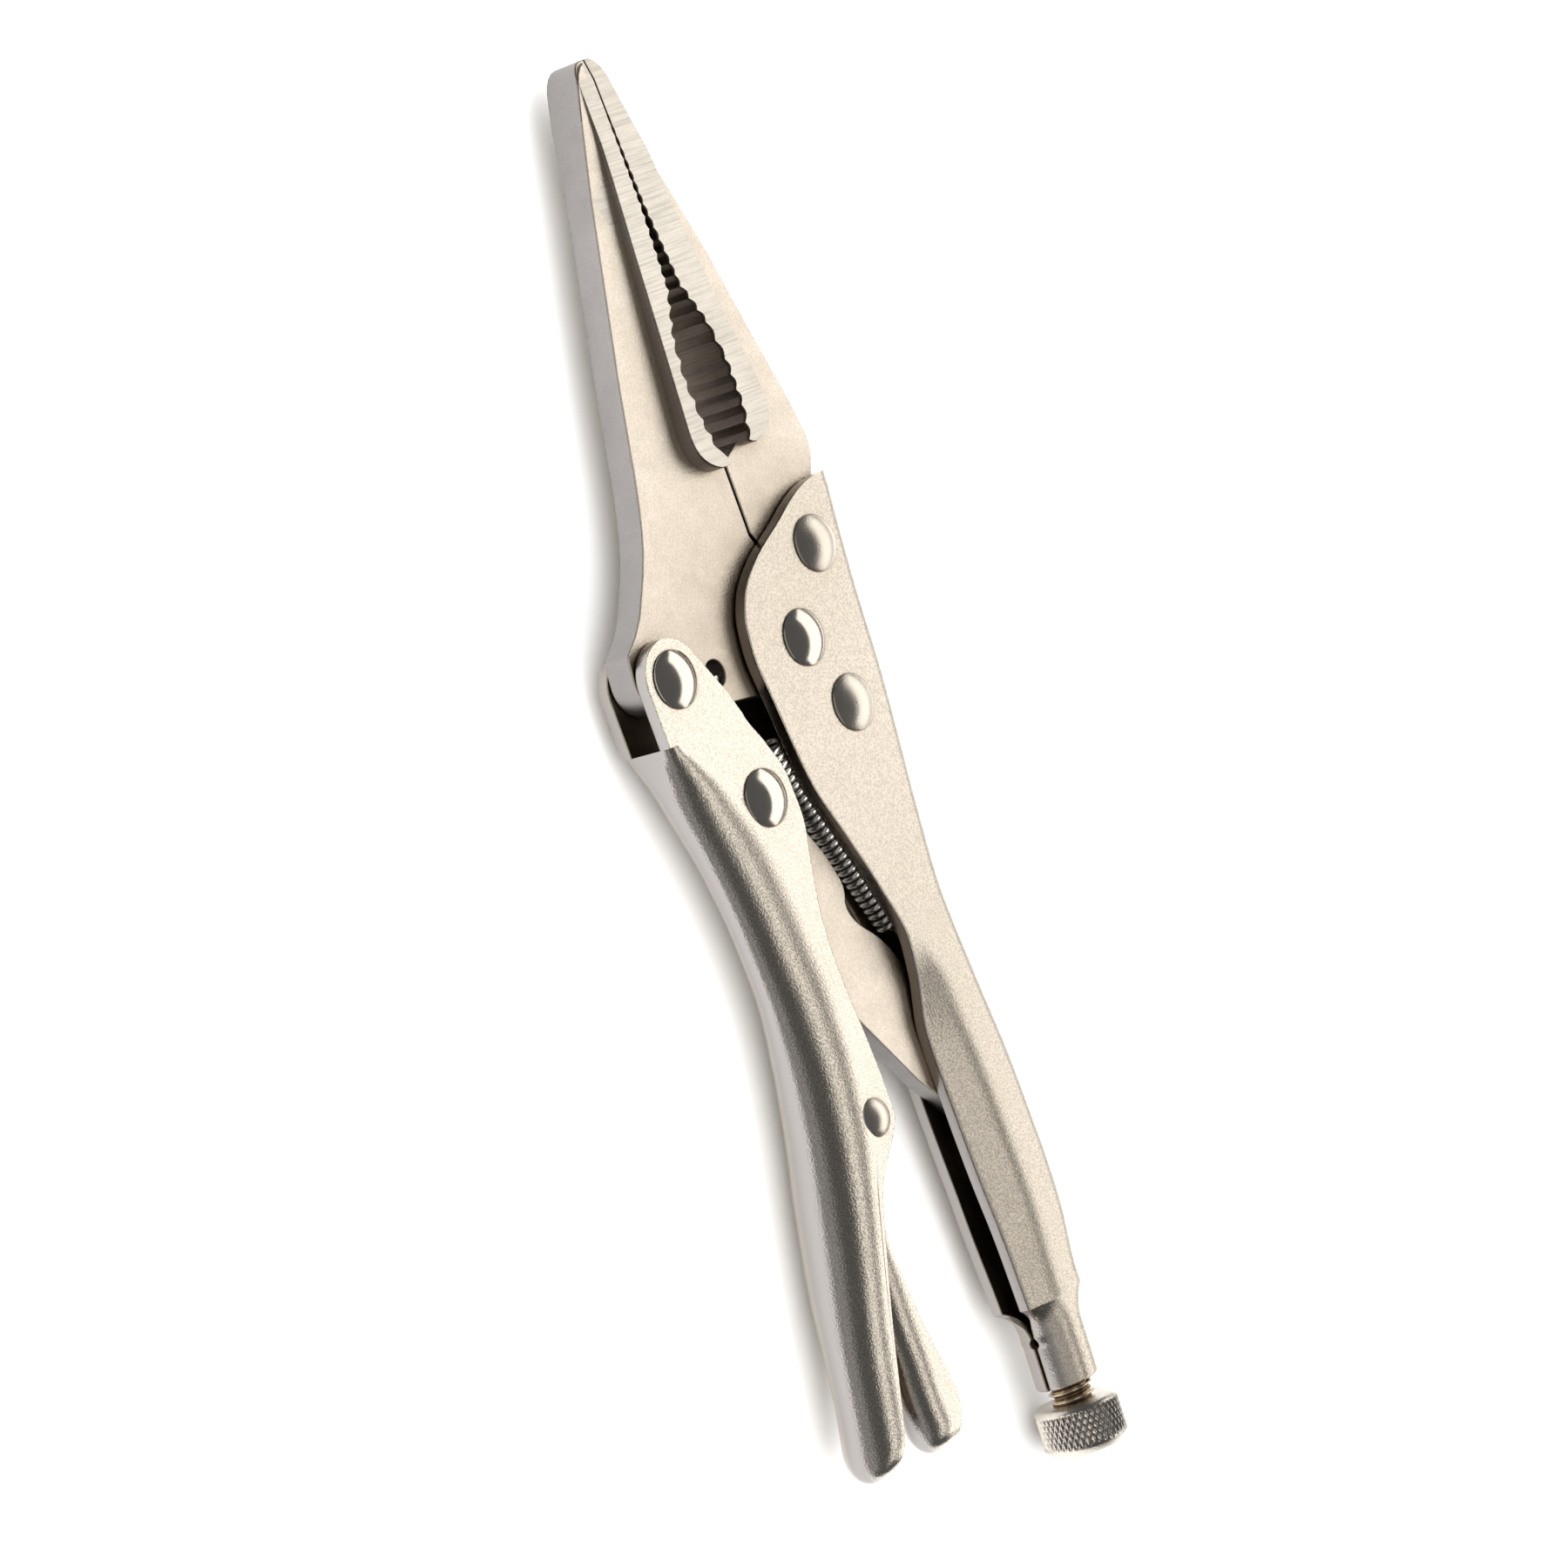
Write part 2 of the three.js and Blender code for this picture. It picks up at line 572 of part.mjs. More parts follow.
// Close-wound coils between a hook in the moving jaw and a tail in the fixed handle.
class SpringWire extends THREE.Curve {
  constructor() {
    super();
    this.top = new THREE.Vector3(...SPRING_TOP, 0);
    this.axis = new THREE.Vector3(...SPRING_BOTTOM, 0).sub(this.top);
    this.side = new THREE.Vector3(-this.axis.y, this.axis.x, 0).normalize();
    const [hx, hy] = SPRING_HOLE;
    const rear = -WEB / 2 - 0.75;
    this.hook = new THREE.CatmullRomCurve3([
      new THREE.Vector3(hx + 0.9, hy - 0.9, 1.6),
      new THREE.Vector3(hx + 0.9, hy - 0.9, rear + 0.5),
      new THREE.Vector3(hx + 1.5, hy - 1.9, rear),
      new THREE.Vector3(hx + 4, hy - 6.2, rear + 0.2),
      this.coil(0),
    ]);
    this.tail = new THREE.CatmullRomCurve3([
      this.coil(1),
      new THREE.Vector3(SPRING_BOTTOM[0] + 1.8, SPRING_BOTTOM[1] - 1.6, -0.9),
      new THREE.Vector3(SPRING_BOTTOM[0] + 4.6, SPRING_BOTTOM[1] - 4.4, 0),
      new THREE.Vector3(SPRING_ANCHOR[0] - 2.5, SPRING_ANCHOR[1], 0),
      new THREE.Vector3(SPRING_ANCHOR[0], SPRING_ANCHOR[1], 0),
    ]);
  }

  coil(t) {
    const angle = 2 * Math.PI * COILS * t - Math.PI / 2;
    return this.top
      .clone()
      .addScaledVector(this.axis, t)
      .addScaledVector(this.side, COIL_R * Math.cos(angle))
      .add(new THREE.Vector3(0, 0, COIL_R * Math.sin(angle)));
  }

  getPoint(t) {
    if (t < 0.05) return this.hook.getPoint(t / 0.05);
    if (t > 0.95) return this.tail.getPoint((t - 0.95) / 0.05);
    return this.coil((t - 0.05) / 0.9);
  }

  getPointAt(t) {
    return this.getPoint(t);
  }

  getTangentAt(t) {
    return this.getTangent(t);
  }
}

function tensionSpring() {
  const wire = outline(arcPoints([0, 0], WIRE_R, 0, 288, 4));
  const extrudePath = new SpringWire();
  return manifoldOf(new THREE.ExtrudeGeometry(wire, { steps: 300, extrudePath }));
}

// ---- assembly ----

const pliers = new THREE.Group();
pliers.name = "locking_pliers";
pliers.position.copy(BENCH_OFFSET);

const plates = [SHANK_R, HEAD_R, HEAD_H];
pliers.add(
  mesh("fixed_handle", fixedHandle(), NICKEL),
  mesh("fixed_jaw", fixedJaw(), NICKEL),
  mesh("fixed_jaw_rivet_front", rivet(JAW_RIVET_FRONT, HALF_FOLD, ...plates), NICKEL),
  mesh("fixed_jaw_rivet_rear", rivet(JAW_RIVET_REAR, HALF_FOLD, ...plates), NICKEL),
  mesh("jaw_pivot_rivet", rivet(JAW_PIVOT, HALF_FOLD, ...plates), POLISHED),
  mesh("moving_jaw", movingJaw(), NICKEL),
  mesh("handle_pivot_rivet", rivet(HANDLE_PIVOT, HALF_FOLD, ...plates), POLISHED),
  mesh("moving_handle", movingHandle(), NICKEL),
  mesh("link_rivet", rivet(LINK_PIVOT, HALF_FOLD, ...plates), POLISHED),
  mesh("toggle_link", toggleLink(), NICKEL),
  mesh(
    "lever_rivet",
    rivet(LEVER_PIVOT, movingHalf(LEVER_PIVOT[1]), SMALL_SHANK_R, SMALL_HEAD_R, 1.3),
    POLISHED,
  ),
  mesh("release_lever", releaseLever(), SIDE_NICKEL),
  mesh("adjusting_screw", adjustingScrew(), NICKEL),
  mesh("adjusting_knob", knurledKnob(), SIDE_NICKEL),
  mesh("tension_spring", tensionSpring(), SPRING_STEEL),
);

export default pliers;
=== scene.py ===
"""Long-nose locking pliers in satin nickel, closed and locked, lying on a pale studio floor."""

import json
import math

import bmesh
import bpy
import numpy as np
from mathutils import Matrix, Vector


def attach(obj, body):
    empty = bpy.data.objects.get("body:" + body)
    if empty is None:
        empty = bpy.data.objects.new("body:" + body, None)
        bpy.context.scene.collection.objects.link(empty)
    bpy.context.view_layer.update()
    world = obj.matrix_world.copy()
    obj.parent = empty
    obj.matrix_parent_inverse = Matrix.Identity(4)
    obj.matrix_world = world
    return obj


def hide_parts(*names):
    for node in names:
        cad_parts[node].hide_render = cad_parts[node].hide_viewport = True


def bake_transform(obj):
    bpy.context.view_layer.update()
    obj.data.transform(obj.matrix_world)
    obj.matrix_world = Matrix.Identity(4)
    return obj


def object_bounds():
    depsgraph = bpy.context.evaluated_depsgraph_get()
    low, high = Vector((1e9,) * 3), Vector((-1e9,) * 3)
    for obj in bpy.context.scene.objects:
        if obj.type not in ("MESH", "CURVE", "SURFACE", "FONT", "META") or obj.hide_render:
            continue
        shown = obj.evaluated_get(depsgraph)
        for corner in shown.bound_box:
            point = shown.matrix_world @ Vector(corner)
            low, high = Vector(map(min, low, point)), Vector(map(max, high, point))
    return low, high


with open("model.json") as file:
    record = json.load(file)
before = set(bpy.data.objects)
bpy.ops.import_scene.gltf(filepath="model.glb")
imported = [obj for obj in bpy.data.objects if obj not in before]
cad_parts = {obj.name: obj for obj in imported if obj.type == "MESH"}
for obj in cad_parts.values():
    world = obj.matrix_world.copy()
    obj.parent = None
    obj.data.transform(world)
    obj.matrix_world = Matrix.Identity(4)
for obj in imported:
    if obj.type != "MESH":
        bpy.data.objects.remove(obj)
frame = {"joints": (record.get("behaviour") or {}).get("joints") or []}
cad_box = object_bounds()

# ---------------------------------------------------------------- dimensions
# Millimetres in the tool's own frame: +Y to the tips, +X to the fixed handle, Z = 0 mid-plane.
JAW_PIVOT = (10.4, 20.2)
HANDLE_PIVOT = (-20.6, 22.7)
LINK_PIVOT = (-10.6, 0.2)
LINK_END = (17.6, -65.0)
LEVER_PIVOT = (-13.9, -51.8)
JAW_RIVET_FRONT = (20.4, 33.0)
JAW_RIVET_REAR = (16.1, 7.6)
SPRING_HOLE = (-8.9, 20.6)
SPRING_HOLE_R = 2.2

WEB = 5.2
LINK_PLATE = 3.5
SHEET = 2.2
LEVER_SHEET = 1.8
HALF_FOLD = 5.15
CUT_EASE = 0.32  # the cut edges of the sheets are eased to about this radius
PARTING_X = 10.4
TIP_Y = 116.0

SCREW_LEAN = math.radians(3.6)
SCREW_R = 3.75
THREAD_PITCH = 1.5
THREAD_DEPTH = 0.85
SCREW_TIP = 5.4
KNOB_TOP = 45.4
KNOB_R = 7.0
KNOB_H = 8.4
COLLAR_R = 5.25
COLLAR_BORE_R = 4.05
NECK_Y = -92.5
COLLAR_Y = -98.5
COLLAR_END = -107.0
COLLAR_END_EASE = 0.5
SEAM_HALF = 0.22
RELIEF_Y = COLLAR_Y - 0.5
RELIEF_R = 0.8
FIXED_BEND = 4.6

HANDLE_END = -103.0
HANDLE_END_R = 5.3
NOTCH_Y = 13.5
LOBE_R = 6.5
LEVER_TOP = -29.0
LEVER_END = -104.4
LEVER_END_R = 4.2

jaw_joint = next(j for j in frame["joints"] if j["name"] == "jaw_open")
ORIGIN = np.array(jaw_joint["pos_m"]) - 0.001 * np.array([*JAW_PIVOT, 0.0])


def metres(points):
    return np.asarray(points, float) * 0.001 + ORIGIN


# ---------------------------------------------------------------- materials
GRAIN_SCALE = 3200.0  # noise scales are per metre
PATCH_SCALE = 260.0
CLOUD_SCALE = 24.0
GROUND_LINES = (90.0, 2900.0, 90.0)  # fine along the tool, long across it
GRAIN_HEIGHT = 0.00016
CREVICE_REACH = 0.008
# Brown of the patina in the hollows, which also carries painted shade.
PATINA_AND_SHADE = (0.34, 0.26, 0.18)
# Brown of the stained patch round the jaw pivot, which also carries painted shade.
STAIN_AND_SHADE = (0.36, 0.29, 0.21)


def node(tree, kind, **values):
    """A new shader node; each value sets the property of that name, or else the input."""
    made = tree.nodes.new(kind)
    for key, value in values.items():
        if hasattr(made, key):
            setattr(made, key, value)
        else:
            made.inputs[key.replace("_", " ")].default_value = value
    return made


def noise(tree, place, scale, detail, stretch=None):
    source = place.outputs["Object"]
    if stretch:
        stretched = node(tree, "ShaderNodeMapping", Scale=stretch)
        tree.links.new(source, stretched.inputs["Vector"])
        source = stretched.outputs["Vector"]
    made = node(tree, "ShaderNodeTexNoise", Scale=scale, Detail=detail, Roughness=0.55)
    tree.links.new(source, made.inputs["Vector"])
    return made.outputs["Fac"]


def remap(tree, value, low, high, to_low, to_high):
    made = node(tree, "ShaderNodeMapRange", From_Min=low, From_Max=high, To_Min=to_low, To_Max=to_high)
    tree.links.new(value, made.inputs["Value"])
    return made.outputs["Result"]


def blend_colour(tree, factor, first, second):
    """Mix of two colours; either may be an RGB triple or a socket."""
    made = node(tree, "ShaderNodeMix", data_type="RGBA")
    tree.links.new(factor, made.inputs["Factor"])
    for name, value in (("A", first), ("B", second)):
        socket = next(s for s in made.inputs if s.name == name and s.type == "RGBA")
        if isinstance(value, tuple):
            socket.default_value = (*value, 1.0)
        else:
            tree.links.new(value, socket)
    return next(s for s in made.outputs if s.type == "RGBA")


def darker(colour, share):
    return tuple(share * c for c in colour)


def with_ground_lines(tree, place, colour, height, dark, depth):
    """Colour and height with the lines that grinding leaves across the tool."""
    lines = noise(tree, place, 1.0, 2.0, stretch=GROUND_LINES)
    colour = blend_colour(tree, remap(tree, lines, 0.42, 0.72, 0.0, 0.5), colour, darker(dark, 0.5))
    add = node(tree, "ShaderNodeMath", operation="MULTIPLY_ADD")
    tree.links.new(lines, add.inputs[0])
    add.inputs[1].default_value = depth
    tree.links.new(height, add.inputs[2])
    return colour, add.outputs[0]


def with_painted_side_shade(tree, place, colour, sides):
    """Painted shade: the darker tone `sides` where the surface faces sideways."""
    facing = node(tree, "ShaderNodeSeparateXYZ")
    tree.links.new(place.outputs["Normal"], facing.inputs[0])
    steep = node(tree, "ShaderNodeMath", operation="ABSOLUTE")
    tree.links.new(facing.outputs["Z"], steep.inputs[0])
    return blend_colour(tree, remap(tree, steep.outputs[0], 0.25, 0.75, 1.0, 0.0), colour, sides)


def with_stain_and_shade(tree, place, colour, centre, radius, strength):
    """A brown, stained patch with painted shade, fading out from its centre on the upper face of the web.
    """
    away = node(tree, "ShaderNodeVectorMath", operation="DISTANCE")
    tree.links.new(place.outputs["Object"], away.inputs[0])
    away.inputs[1].default_value = metres([(*centre, WEB / 2)])[0]
    ring = remap(tree, away.outputs["Value"], 0.3 * radius, radius, strength, 0.0)
    return blend_colour(tree, ring, colour, STAIN_AND_SHADE)


def with_patina_and_shade(tree, colour, strength):
    """Brown patina with painted shade where the surface is hemmed in."""
    shade = node(tree, "ShaderNodeAmbientOcclusion", samples=4, Distance=CREVICE_REACH)
    return blend_colour(tree, remap(tree, shade.outputs["AO"], 0.3, 0.95, strength, 0.0), colour, PATINA_AND_SHADE)


def metal(name, light, dark, rough, spread, grain, speck, brushed=0.0, crevice=0.0, sides=None,
          stain_and_shade=None):
    """Nickel-plated steel: a colour clouded from light to dark, roughness rough +- spread and a
    blasted grain with dark specks. `brushed` adds lines ground across the tool, `crevice` brown
    patina with painted shade in the hollows, `sides` a painted shade for the narrow sides, and a
    brown, stained patch with painted shade is given as a centre, a radius in metres and a strength."""
    material = bpy.data.materials.new(name)
    material.use_nodes = True
    tree = material.node_tree
    tree.nodes.clear()
    place = node(tree, "ShaderNodeTexCoord")
    fine = noise(tree, place, GRAIN_SCALE, 3.0)
    patches = noise(tree, place, PATCH_SCALE, 3.0)
    clouds = noise(tree, place, CLOUD_SCALE, 4.0)
    colour = blend_colour(tree, remap(tree, clouds, 0.3, 0.7, 0.0, 1.0), light, dark)
    colour = blend_colour(tree, remap(tree, fine, 0.40, 0.62, 0.0, speck), colour, darker(dark, 0.45))
    height = fine
    if brushed:
        colour, height = with_ground_lines(tree, place, colour, height, dark, brushed)
    if sides:
        colour = with_painted_side_shade(tree, place, colour, sides)
    if stain_and_shade:
        colour = with_stain_and_shade(tree, place, colour, *stain_and_shade)
    if crevice:
        colour = with_patina_and_shade(tree, colour, crevice)
    surface = node(tree, "ShaderNodeBsdfPrincipled", Metallic=1.0)
    tree.links.new(colour, surface.inputs["Base Color"])
    roughness = remap(tree, patches, 0.3, 0.7, rough - spread, rough + spread)
    tree.links.new(roughness, surface.inputs["Roughness"])
    bump = node(tree, "ShaderNodeBump", Strength=grain, Distance=GRAIN_HEIGHT)
    tree.links.new(height, bump.inputs["Height"])
    tree.links.new(bump.outputs["Normal"], surface.inputs["Normal"])
    out = node(tree, "ShaderNodeOutputMaterial")
    tree.links.new(surface.outputs["BSDF"], out.inputs["Surface"])
    return material


# Painted shade for the folded sheet where it faces sideways, darker than its faces.
SIDE_SHADE = (0.36, 0.335, 0.325)
# The jaws: a stained patch with painted shade round the jaw pivot, and patina with painted shade in the
# hollows.
blasted = metal("blasted_nickel", (0.84, 0.75, 0.64), (0.77, 0.68, 0.57), rough=0.32, spread=0.05,
                grain=0.4, speck=0.28, crevice=0.8, stain_and_shade=(JAW_PIVOT, 0.034, 0.42))
folded = metal("folded_nickel", (0.88, 0.80, 0.69), (0.81, 0.73, 0.62), rough=0.13, spread=0.03,
               grain=0.36, speck=0.45, crevice=0.6, sides=SIDE_SHADE)
# The fixed handle's copy of the folded nickel: a rougher finish, and darker as painted shade.
folded_dull_and_shaded = metal("folded_dull_nickel", (0.73, 0.655, 0.56), (0.665, 0.595, 0.50), rough=0.18,
                    spread=0.03, grain=0.36, speck=0.45, crevice=0.6, sides=SIDE_SHADE)
# Painted shade: the inside of the channels, the same nickel as outside but darkened for the shade in
# there.
hollow = metal("channel_inside", (0.34, 0.30, 0.255), (0.26, 0.23, 0.19), rough=0.40, spread=0.06,
               grain=0.3, speck=0.3, crevice=0.7)
# Sides of the jaws and link: a smoother finish, darkened as painted shade.
edge = metal("smooth_edge", (0.345, 0.325, 0.315), (0.275, 0.26, 0.25), rough=0.40, spread=0.06,
             grain=0.15, speck=0.15, crevice=0.3)
ground = metal("ground_pad", (0.75, 0.70, 0.62), (0.67, 0.62, 0.54), rough=0.32, spread=0.05,
               grain=0.25, speck=0.12, brushed=1.2, crevice=0.3)
# Painted shade: dark brown for the walls of the teeth and for the bevel along a pad, for the shade in
# these hollows and in the pad's groove.
tooth = metal("tooth_wall", (0.24, 0.195, 0.165), (0.17, 0.14, 0.115), rough=0.36, spread=0.08,
              grain=0.3, speck=0.2, brushed=0.6, crevice=0.2)
polished = metal("polished_rivet", (0.86, 0.79, 0.70), (0.79, 0.72, 0.63), rough=0.16, spread=0.03,
                 grain=0.05, speck=0.05, crevice=0.5)
satin_rivet = metal("satin_rivet", (0.86, 0.78, 0.68), (0.78, 0.70, 0.60), rough=0.29, spread=0.04,
                    grain=0.2, speck=0.1, crevice=0.5)
turned_steel = metal("turned_screw", (0.80, 0.69, 0.54), (0.68, 0.57, 0.44), rough=0.26, spread=0.06,
                     grain=0.1, speck=0.15, crevice=0.1)
# Painted shade: the dark groove of the thread.
thread_root = metal("thread_root", (0.22, 0.16, 0.10), (0.14, 0.10, 0.06), rough=0.4, spread=0.06,
                    grain=0.1, speck=0.15)
knurl = metal("knurled_steel", (0.74, 0.69, 0.62), (0.62, 0.57, 0.51), rough=0.26, spread=0.06,
              grain=0.2, speck=0.15, crevice=0.3)
wire = metal("spring_wire", (0.92, 0.89, 0.85), (0.80, 0.77, 0.73), rough=0.24, spread=0.04,
             grain=0.06, speck=0.1)


# ---------------------------------------------------------------- mesh building
def along(stops):
    """Smooth value along Y through (y, value) stops, without overshoot."""
    stops = sorted(stops)
    ys = [s[0] for s in stops]
    vs = [s[1] for s in stops]
    slope = [0.0] * len(stops)
    for i in range(1, len(stops) - 1):
        before = (vs[i] - vs[i - 1]) / (ys[i] - ys[i - 1])
        after = (vs[i + 1] - vs[i]) / (ys[i + 1] - ys[i])
        if before * after > 0:
            slope[i] = 2 * before * after / (before + after)

    def value(y):
        if y <= ys[0]:
            return vs[0]
        if y >= ys[-1]:
            return vs[-1]
        i = next(k for k, at in enumerate(ys) if at >= y)
        h = ys[i] - ys[i - 1]
        t = (y - ys[i - 1]) / h
        ends = (1 + 2 * t) * (1 - t) ** 2 * vs[i - 1] + t * t * (3 - 2 * t) * vs[i]
        return ends + h * (t * (1 - t) ** 2 * slope[i - 1] + t * t * (t - 1) * slope[i])

    return value


def arc(centre, radius, start, end, count):
    angles = np.radians(np.linspace(start, end, count + 1))
    return [(centre[0] + radius * math.cos(a), centre[1] + radius * math.sin(a)) for a in angles]


def loft(rings, close_start=True, close_end=True):
    """Vertices and faces of a skin through rings of equal length."""
    n = len(rings[0])
    points = [p for ring in rings for p in ring]
    faces = []
    for k in range(len(rings) - 1):
        for i in range(n):
            a, b = k * n + i, k * n + (i + 1) % n
            faces.append((a, b, b + n, a + n))
    if close_start:
        faces.append(tuple(range(n))[::-1])
    if close_end:
        faces.append(tuple(range((len(rings) - 1) * n, len(rings) * n)))
    return points, faces


def circle(radius, z, count):
    angles = np.linspace(0, 2 * math.pi, count, endpoint=False)
    return [(radius * math.cos(a), radius * math.sin(a), z) for a in angles]


def revolve(profile, segments):
    """A turned solid about Z from (radius, z) points that start and end on the axis."""
    return loft([circle(r, z, segments) for r, z in profile], False, False)


def plate(outline, half, bevel, holes=()):
    """Flat stock from -half to half in Z with eased edges and round holes, as vertices and faces."""
    curve = bpy.data.curves.new("stock", "CURVE")
    curve.dimensions = "2D"
    curve.fill_mode = "BOTH"
    curve.extrude = half - bevel
    curve.bevel_depth = bevel
    curve.bevel_resolution = 2
    curve.offset = -bevel
    for loop in [outline, *[arc(c, r, 0, 345, 23) for c, r in holes]]:
        spline = curve.splines.new("POLY")
        spline.points.add(len(loop) - 1)
        for point, (x, y) in zip(spline.points, loop):
            point.co = (x, y, 0.0, 1.0)
        spline.use_cyclic_u = True
    holder = bpy.data.objects.new("stock", curve)
    bpy.context.scene.collection.objects.link(holder)
    shaped = holder.evaluated_get(bpy.context.evaluated_depsgraph_get())
    data = bpy.data.meshes.new_from_object(shaped)
    points = [tuple(v.co) for v in data.vertices]
    faces = [tuple(p.vertices) for p in data.polygons]
    bpy.data.objects.remove(holder)
    bpy.data.curves.remove(curve)
    bpy.data.meshes.remove(data)
    return points, faces


def add_part(form, points, faces):
    """Adds vertices and the faces between them to a bmesh."""
    made = [form.verts.new(p) for p in points]
    for face in faces:
        form.faces.new([made[i] for i in face])


def moved(part, change):
    points, faces = part
    return [change(*p) for p in points], faces


def piece(name, parts, materials, body, nodes, crease=32.0, paint=None):
    """One mesh object from several closed parts; `paint` picks a material index from a face."""
    form = bmesh.new()
    for points, faces in parts:
        add_part(form, metres(points), faces)
    bmesh.ops.remove_doubles(form, verts=form.verts, dist=2e-6)
    bmesh.ops.dissolve_degenerate(form, edges=form.edges, dist=1e-6)
    bmesh.ops.recalc_face_normals(form, faces=form.faces)
    form.normal_update()
    limit = math.radians(crease)
    for e in form.edges:
        e.smooth = len(e.link_faces) == 2 and e.calc_face_angle(0.0) < limit
    for f in form.faces:
        f.smooth = True
        if paint:
            centre = (np.array(f.calc_center_median()) - ORIGIN) * 1000
            f.material_index = paint(centre, f.normal)
    data = bpy.data.meshes.new(name)
    form.to_mesh(data)
    form.free()
    for material in materials:
        data.materials.append(material)
    made = bpy.data.objects.new(name, data)
    bpy.context.scene.collection.objects.link(made)
    flat = made.modifiers.new("flat_faces", "WEIGHTED_NORMAL")
    flat.keep_sharp = True
    if body:
        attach(made, body)
    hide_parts(*nodes)
    return made


# ---------------------------------------------------------------- jaws
FINE_PITCH = 1.9
COARSE_PITCH = 2.7
COARSE_DEPTH = 0.75
SCALLOP = ((0.0, 0.0), (0.32, 0.8), (0.5, 1.0), (0.68, 0.8))  # shares of a tooth's pitch and depth
TIP_GAP = 0.04
WEB_BEVEL = 0.28
PAD_BEVEL = 0.16
PAD_HALF = 3.6  # where the bevel at the tip starts
PAD_BACK_HALF = 5.4
PAD_BACK_Y = 48.0
TIP_BEVEL_Y = 112.5
TIP_BEVEL = 0.9
TEETH_FROM, TEETH_TO = 49, 113  # heights between which the gripping edge has teeth


def teeth(start, end, pitch, depth, way):
    """Scalloped edge from start to end; the hollows open from depth[0] to depth[1]."""
    count = round(math.dist(start, end) / pitch)
    points = []
    for i in range(count):
        for share, cut in SCALLOP:
            t = (i + share) / count
            hollow = depth[0] + (depth[1] - depth[0]) * t
            x = start[0] + (end[0] - start[0]) * t + way * hollow * cut
            points.append((x, start[1] + (end[1] - start[1]) * t))
    return points


def gripping_edge(way):
    """Edge of one jaw from the tip to the bottom of the pipe grip; way is -1 for the moving jaw."""
    tip = PARTING_X + way * TIP_GAP
    if way < 0:
        grip = [(9.2, 78.0), (6.3, 70.5), (5.4, 64.0), (5.8, 57.5), (6.9, 52.2)]
    else:
        grip = [(11.6, 78.0), (14.2, 71.5), (15.3, 65.0), (15.1, 57.5), (13.8, 52.0)]
    points = [(tip, TIP_Y)] + teeth((tip, 107.0), (tip, 92.0), FINE_PITCH, (0.06, 0.42), way)
    points += teeth((tip, 92.0), grip[0], FINE_PITCH, (0.42, 0.5), way)
    for a, b in zip(grip, grip[1:]):
        points += teeth(a, b, COARSE_PITCH, (COARSE_DEPTH, COARSE_DEPTH), way)
    return points + [grip[-1]]


def pad_half(y):
    """Half the thickness of the gripping face: it grows towards the back, and is bevelled at the tip."""
    if y > TIP_BEVEL_Y:
        return PAD_HALF - TIP_BEVEL * (y - TIP_BEVEL_Y) / (TIP_Y + 1 - TIP_BEVEL_Y)
    return PAD_HALF + (PAD_BACK_HALF - PAD_HALF) * (TIP_BEVEL_Y - y) / (TIP_BEVEL_Y - PAD_BACK_Y)


def pad(outline):
    """The raised gripping face: a plate of half thickness 1, cut across and stretched to pad_half."""
    form = bmesh.new()
    add_part(form, *plate(outline, 1.0, PAD_BEVEL))
    bmesh.ops.remove_doubles(form, verts=form.verts, dist=1e-4)
    for y in (TIP_BEVEL_Y, 113.4, 90.0, 70.0):
        bmesh.ops.bisect_plane(form, geom=form.verts[:] + form.edges[:] + form.faces[:],
                               plane_co=(0, y, 0), plane_no=(0, 1, 0))
    for v in form.verts:
        v.co.z *= pad_half(v.co.y)
    form.verts.index_update()
    points = [tuple(v.co) for v in form.verts]
    faces = [tuple(v.index for v in f.verts) for f in form.faces]
    form.free()
    return points, faces


tip_swell = along([(90, 1.0), (111, 1.36)])


def thickened(x, y, z):
    """The web of the moving jaw grows thicker towards its tip."""
    return x, y, z * tip_swell(y)


jaw_metals = [blasted, ground, edge, tooth]


def jaw_paint(grip_left, grip_right, way):
    """Faces 0, ground pad 1, smooth edges darkened as painted shade 2, tooth walls and pad bevels in
    painted shade 3.
    """

    def choose(centre, normal):
        x, y, z = centre
        raised = y > TIP_BEVEL_Y or abs(z) > WEB / 2 * tip_swell(y) + 0.06
        if abs(normal.z) > (0.95 if raised else 0.6):
            return 1 if raised else 0
        # Painted shade: the bevel along the pad's outer side is dark, for the shadow line of a groove.
        if raised and way * normal.x > 0 and abs(normal.z) > 0.1:
            return 3
        # Painted shade in the hollows between the teeth.
        if TEETH_FROM < y < TEETH_TO and grip_left < x < grip_right and way * normal.x < 0.4:
            return 3
        return 2

    return choose


moving_web = [
    (8.4, 115.2), (9.4, 115.5), (9.6, 100.0), (8.4, 78.0), (5.4, 70.5), (4.4, 64.0), (4.8, 57.5),
    (6.0, 52.6), (8.2, 50.6), (9.35, 50), (9.35, 38), *arc(JAW_PIVOT, 8, 62, -90, 24),
    (-1, 14.6), (-13, 16.2), *arc((-21.2, 24), 5.5, -80, -190, 14),
    (-26.2, 28.5), (-23, 30.9), (-20.6, 33.3), (-18.6, 36.2), (-16.7, 39.0), (-15, 42),
    (-13.6, 45.1), (-12.4, 48.4), (-11.1, 52.5), (-9.9, 57), (-6.9, 68), (1.2, 95), (4.6, 107),
    (6.6, 112.6), (7.3, 114.0),
]
moving_pad = [
    *gripping_edge(-1), (8.6, 49.9), (7.8, 49.5), (7.0, 49.4), (5.8, 49.5), (4.6, 50), (3.5, 50.7),
    (2.6, 51.6), (1.9, 52.7), (1.5, 54), (1.4, 55.5), (1.5, 57), (2.8, 68.5), (4.6, 85),
    (6.0, 97), (6.5, 102.5), (6.55, 107), (6.6, 110.4), (6.7, 112.6), (7.1, 114), (7.7, 115.0),
    (8.5, 115.7), (9.3, 115.95),
]
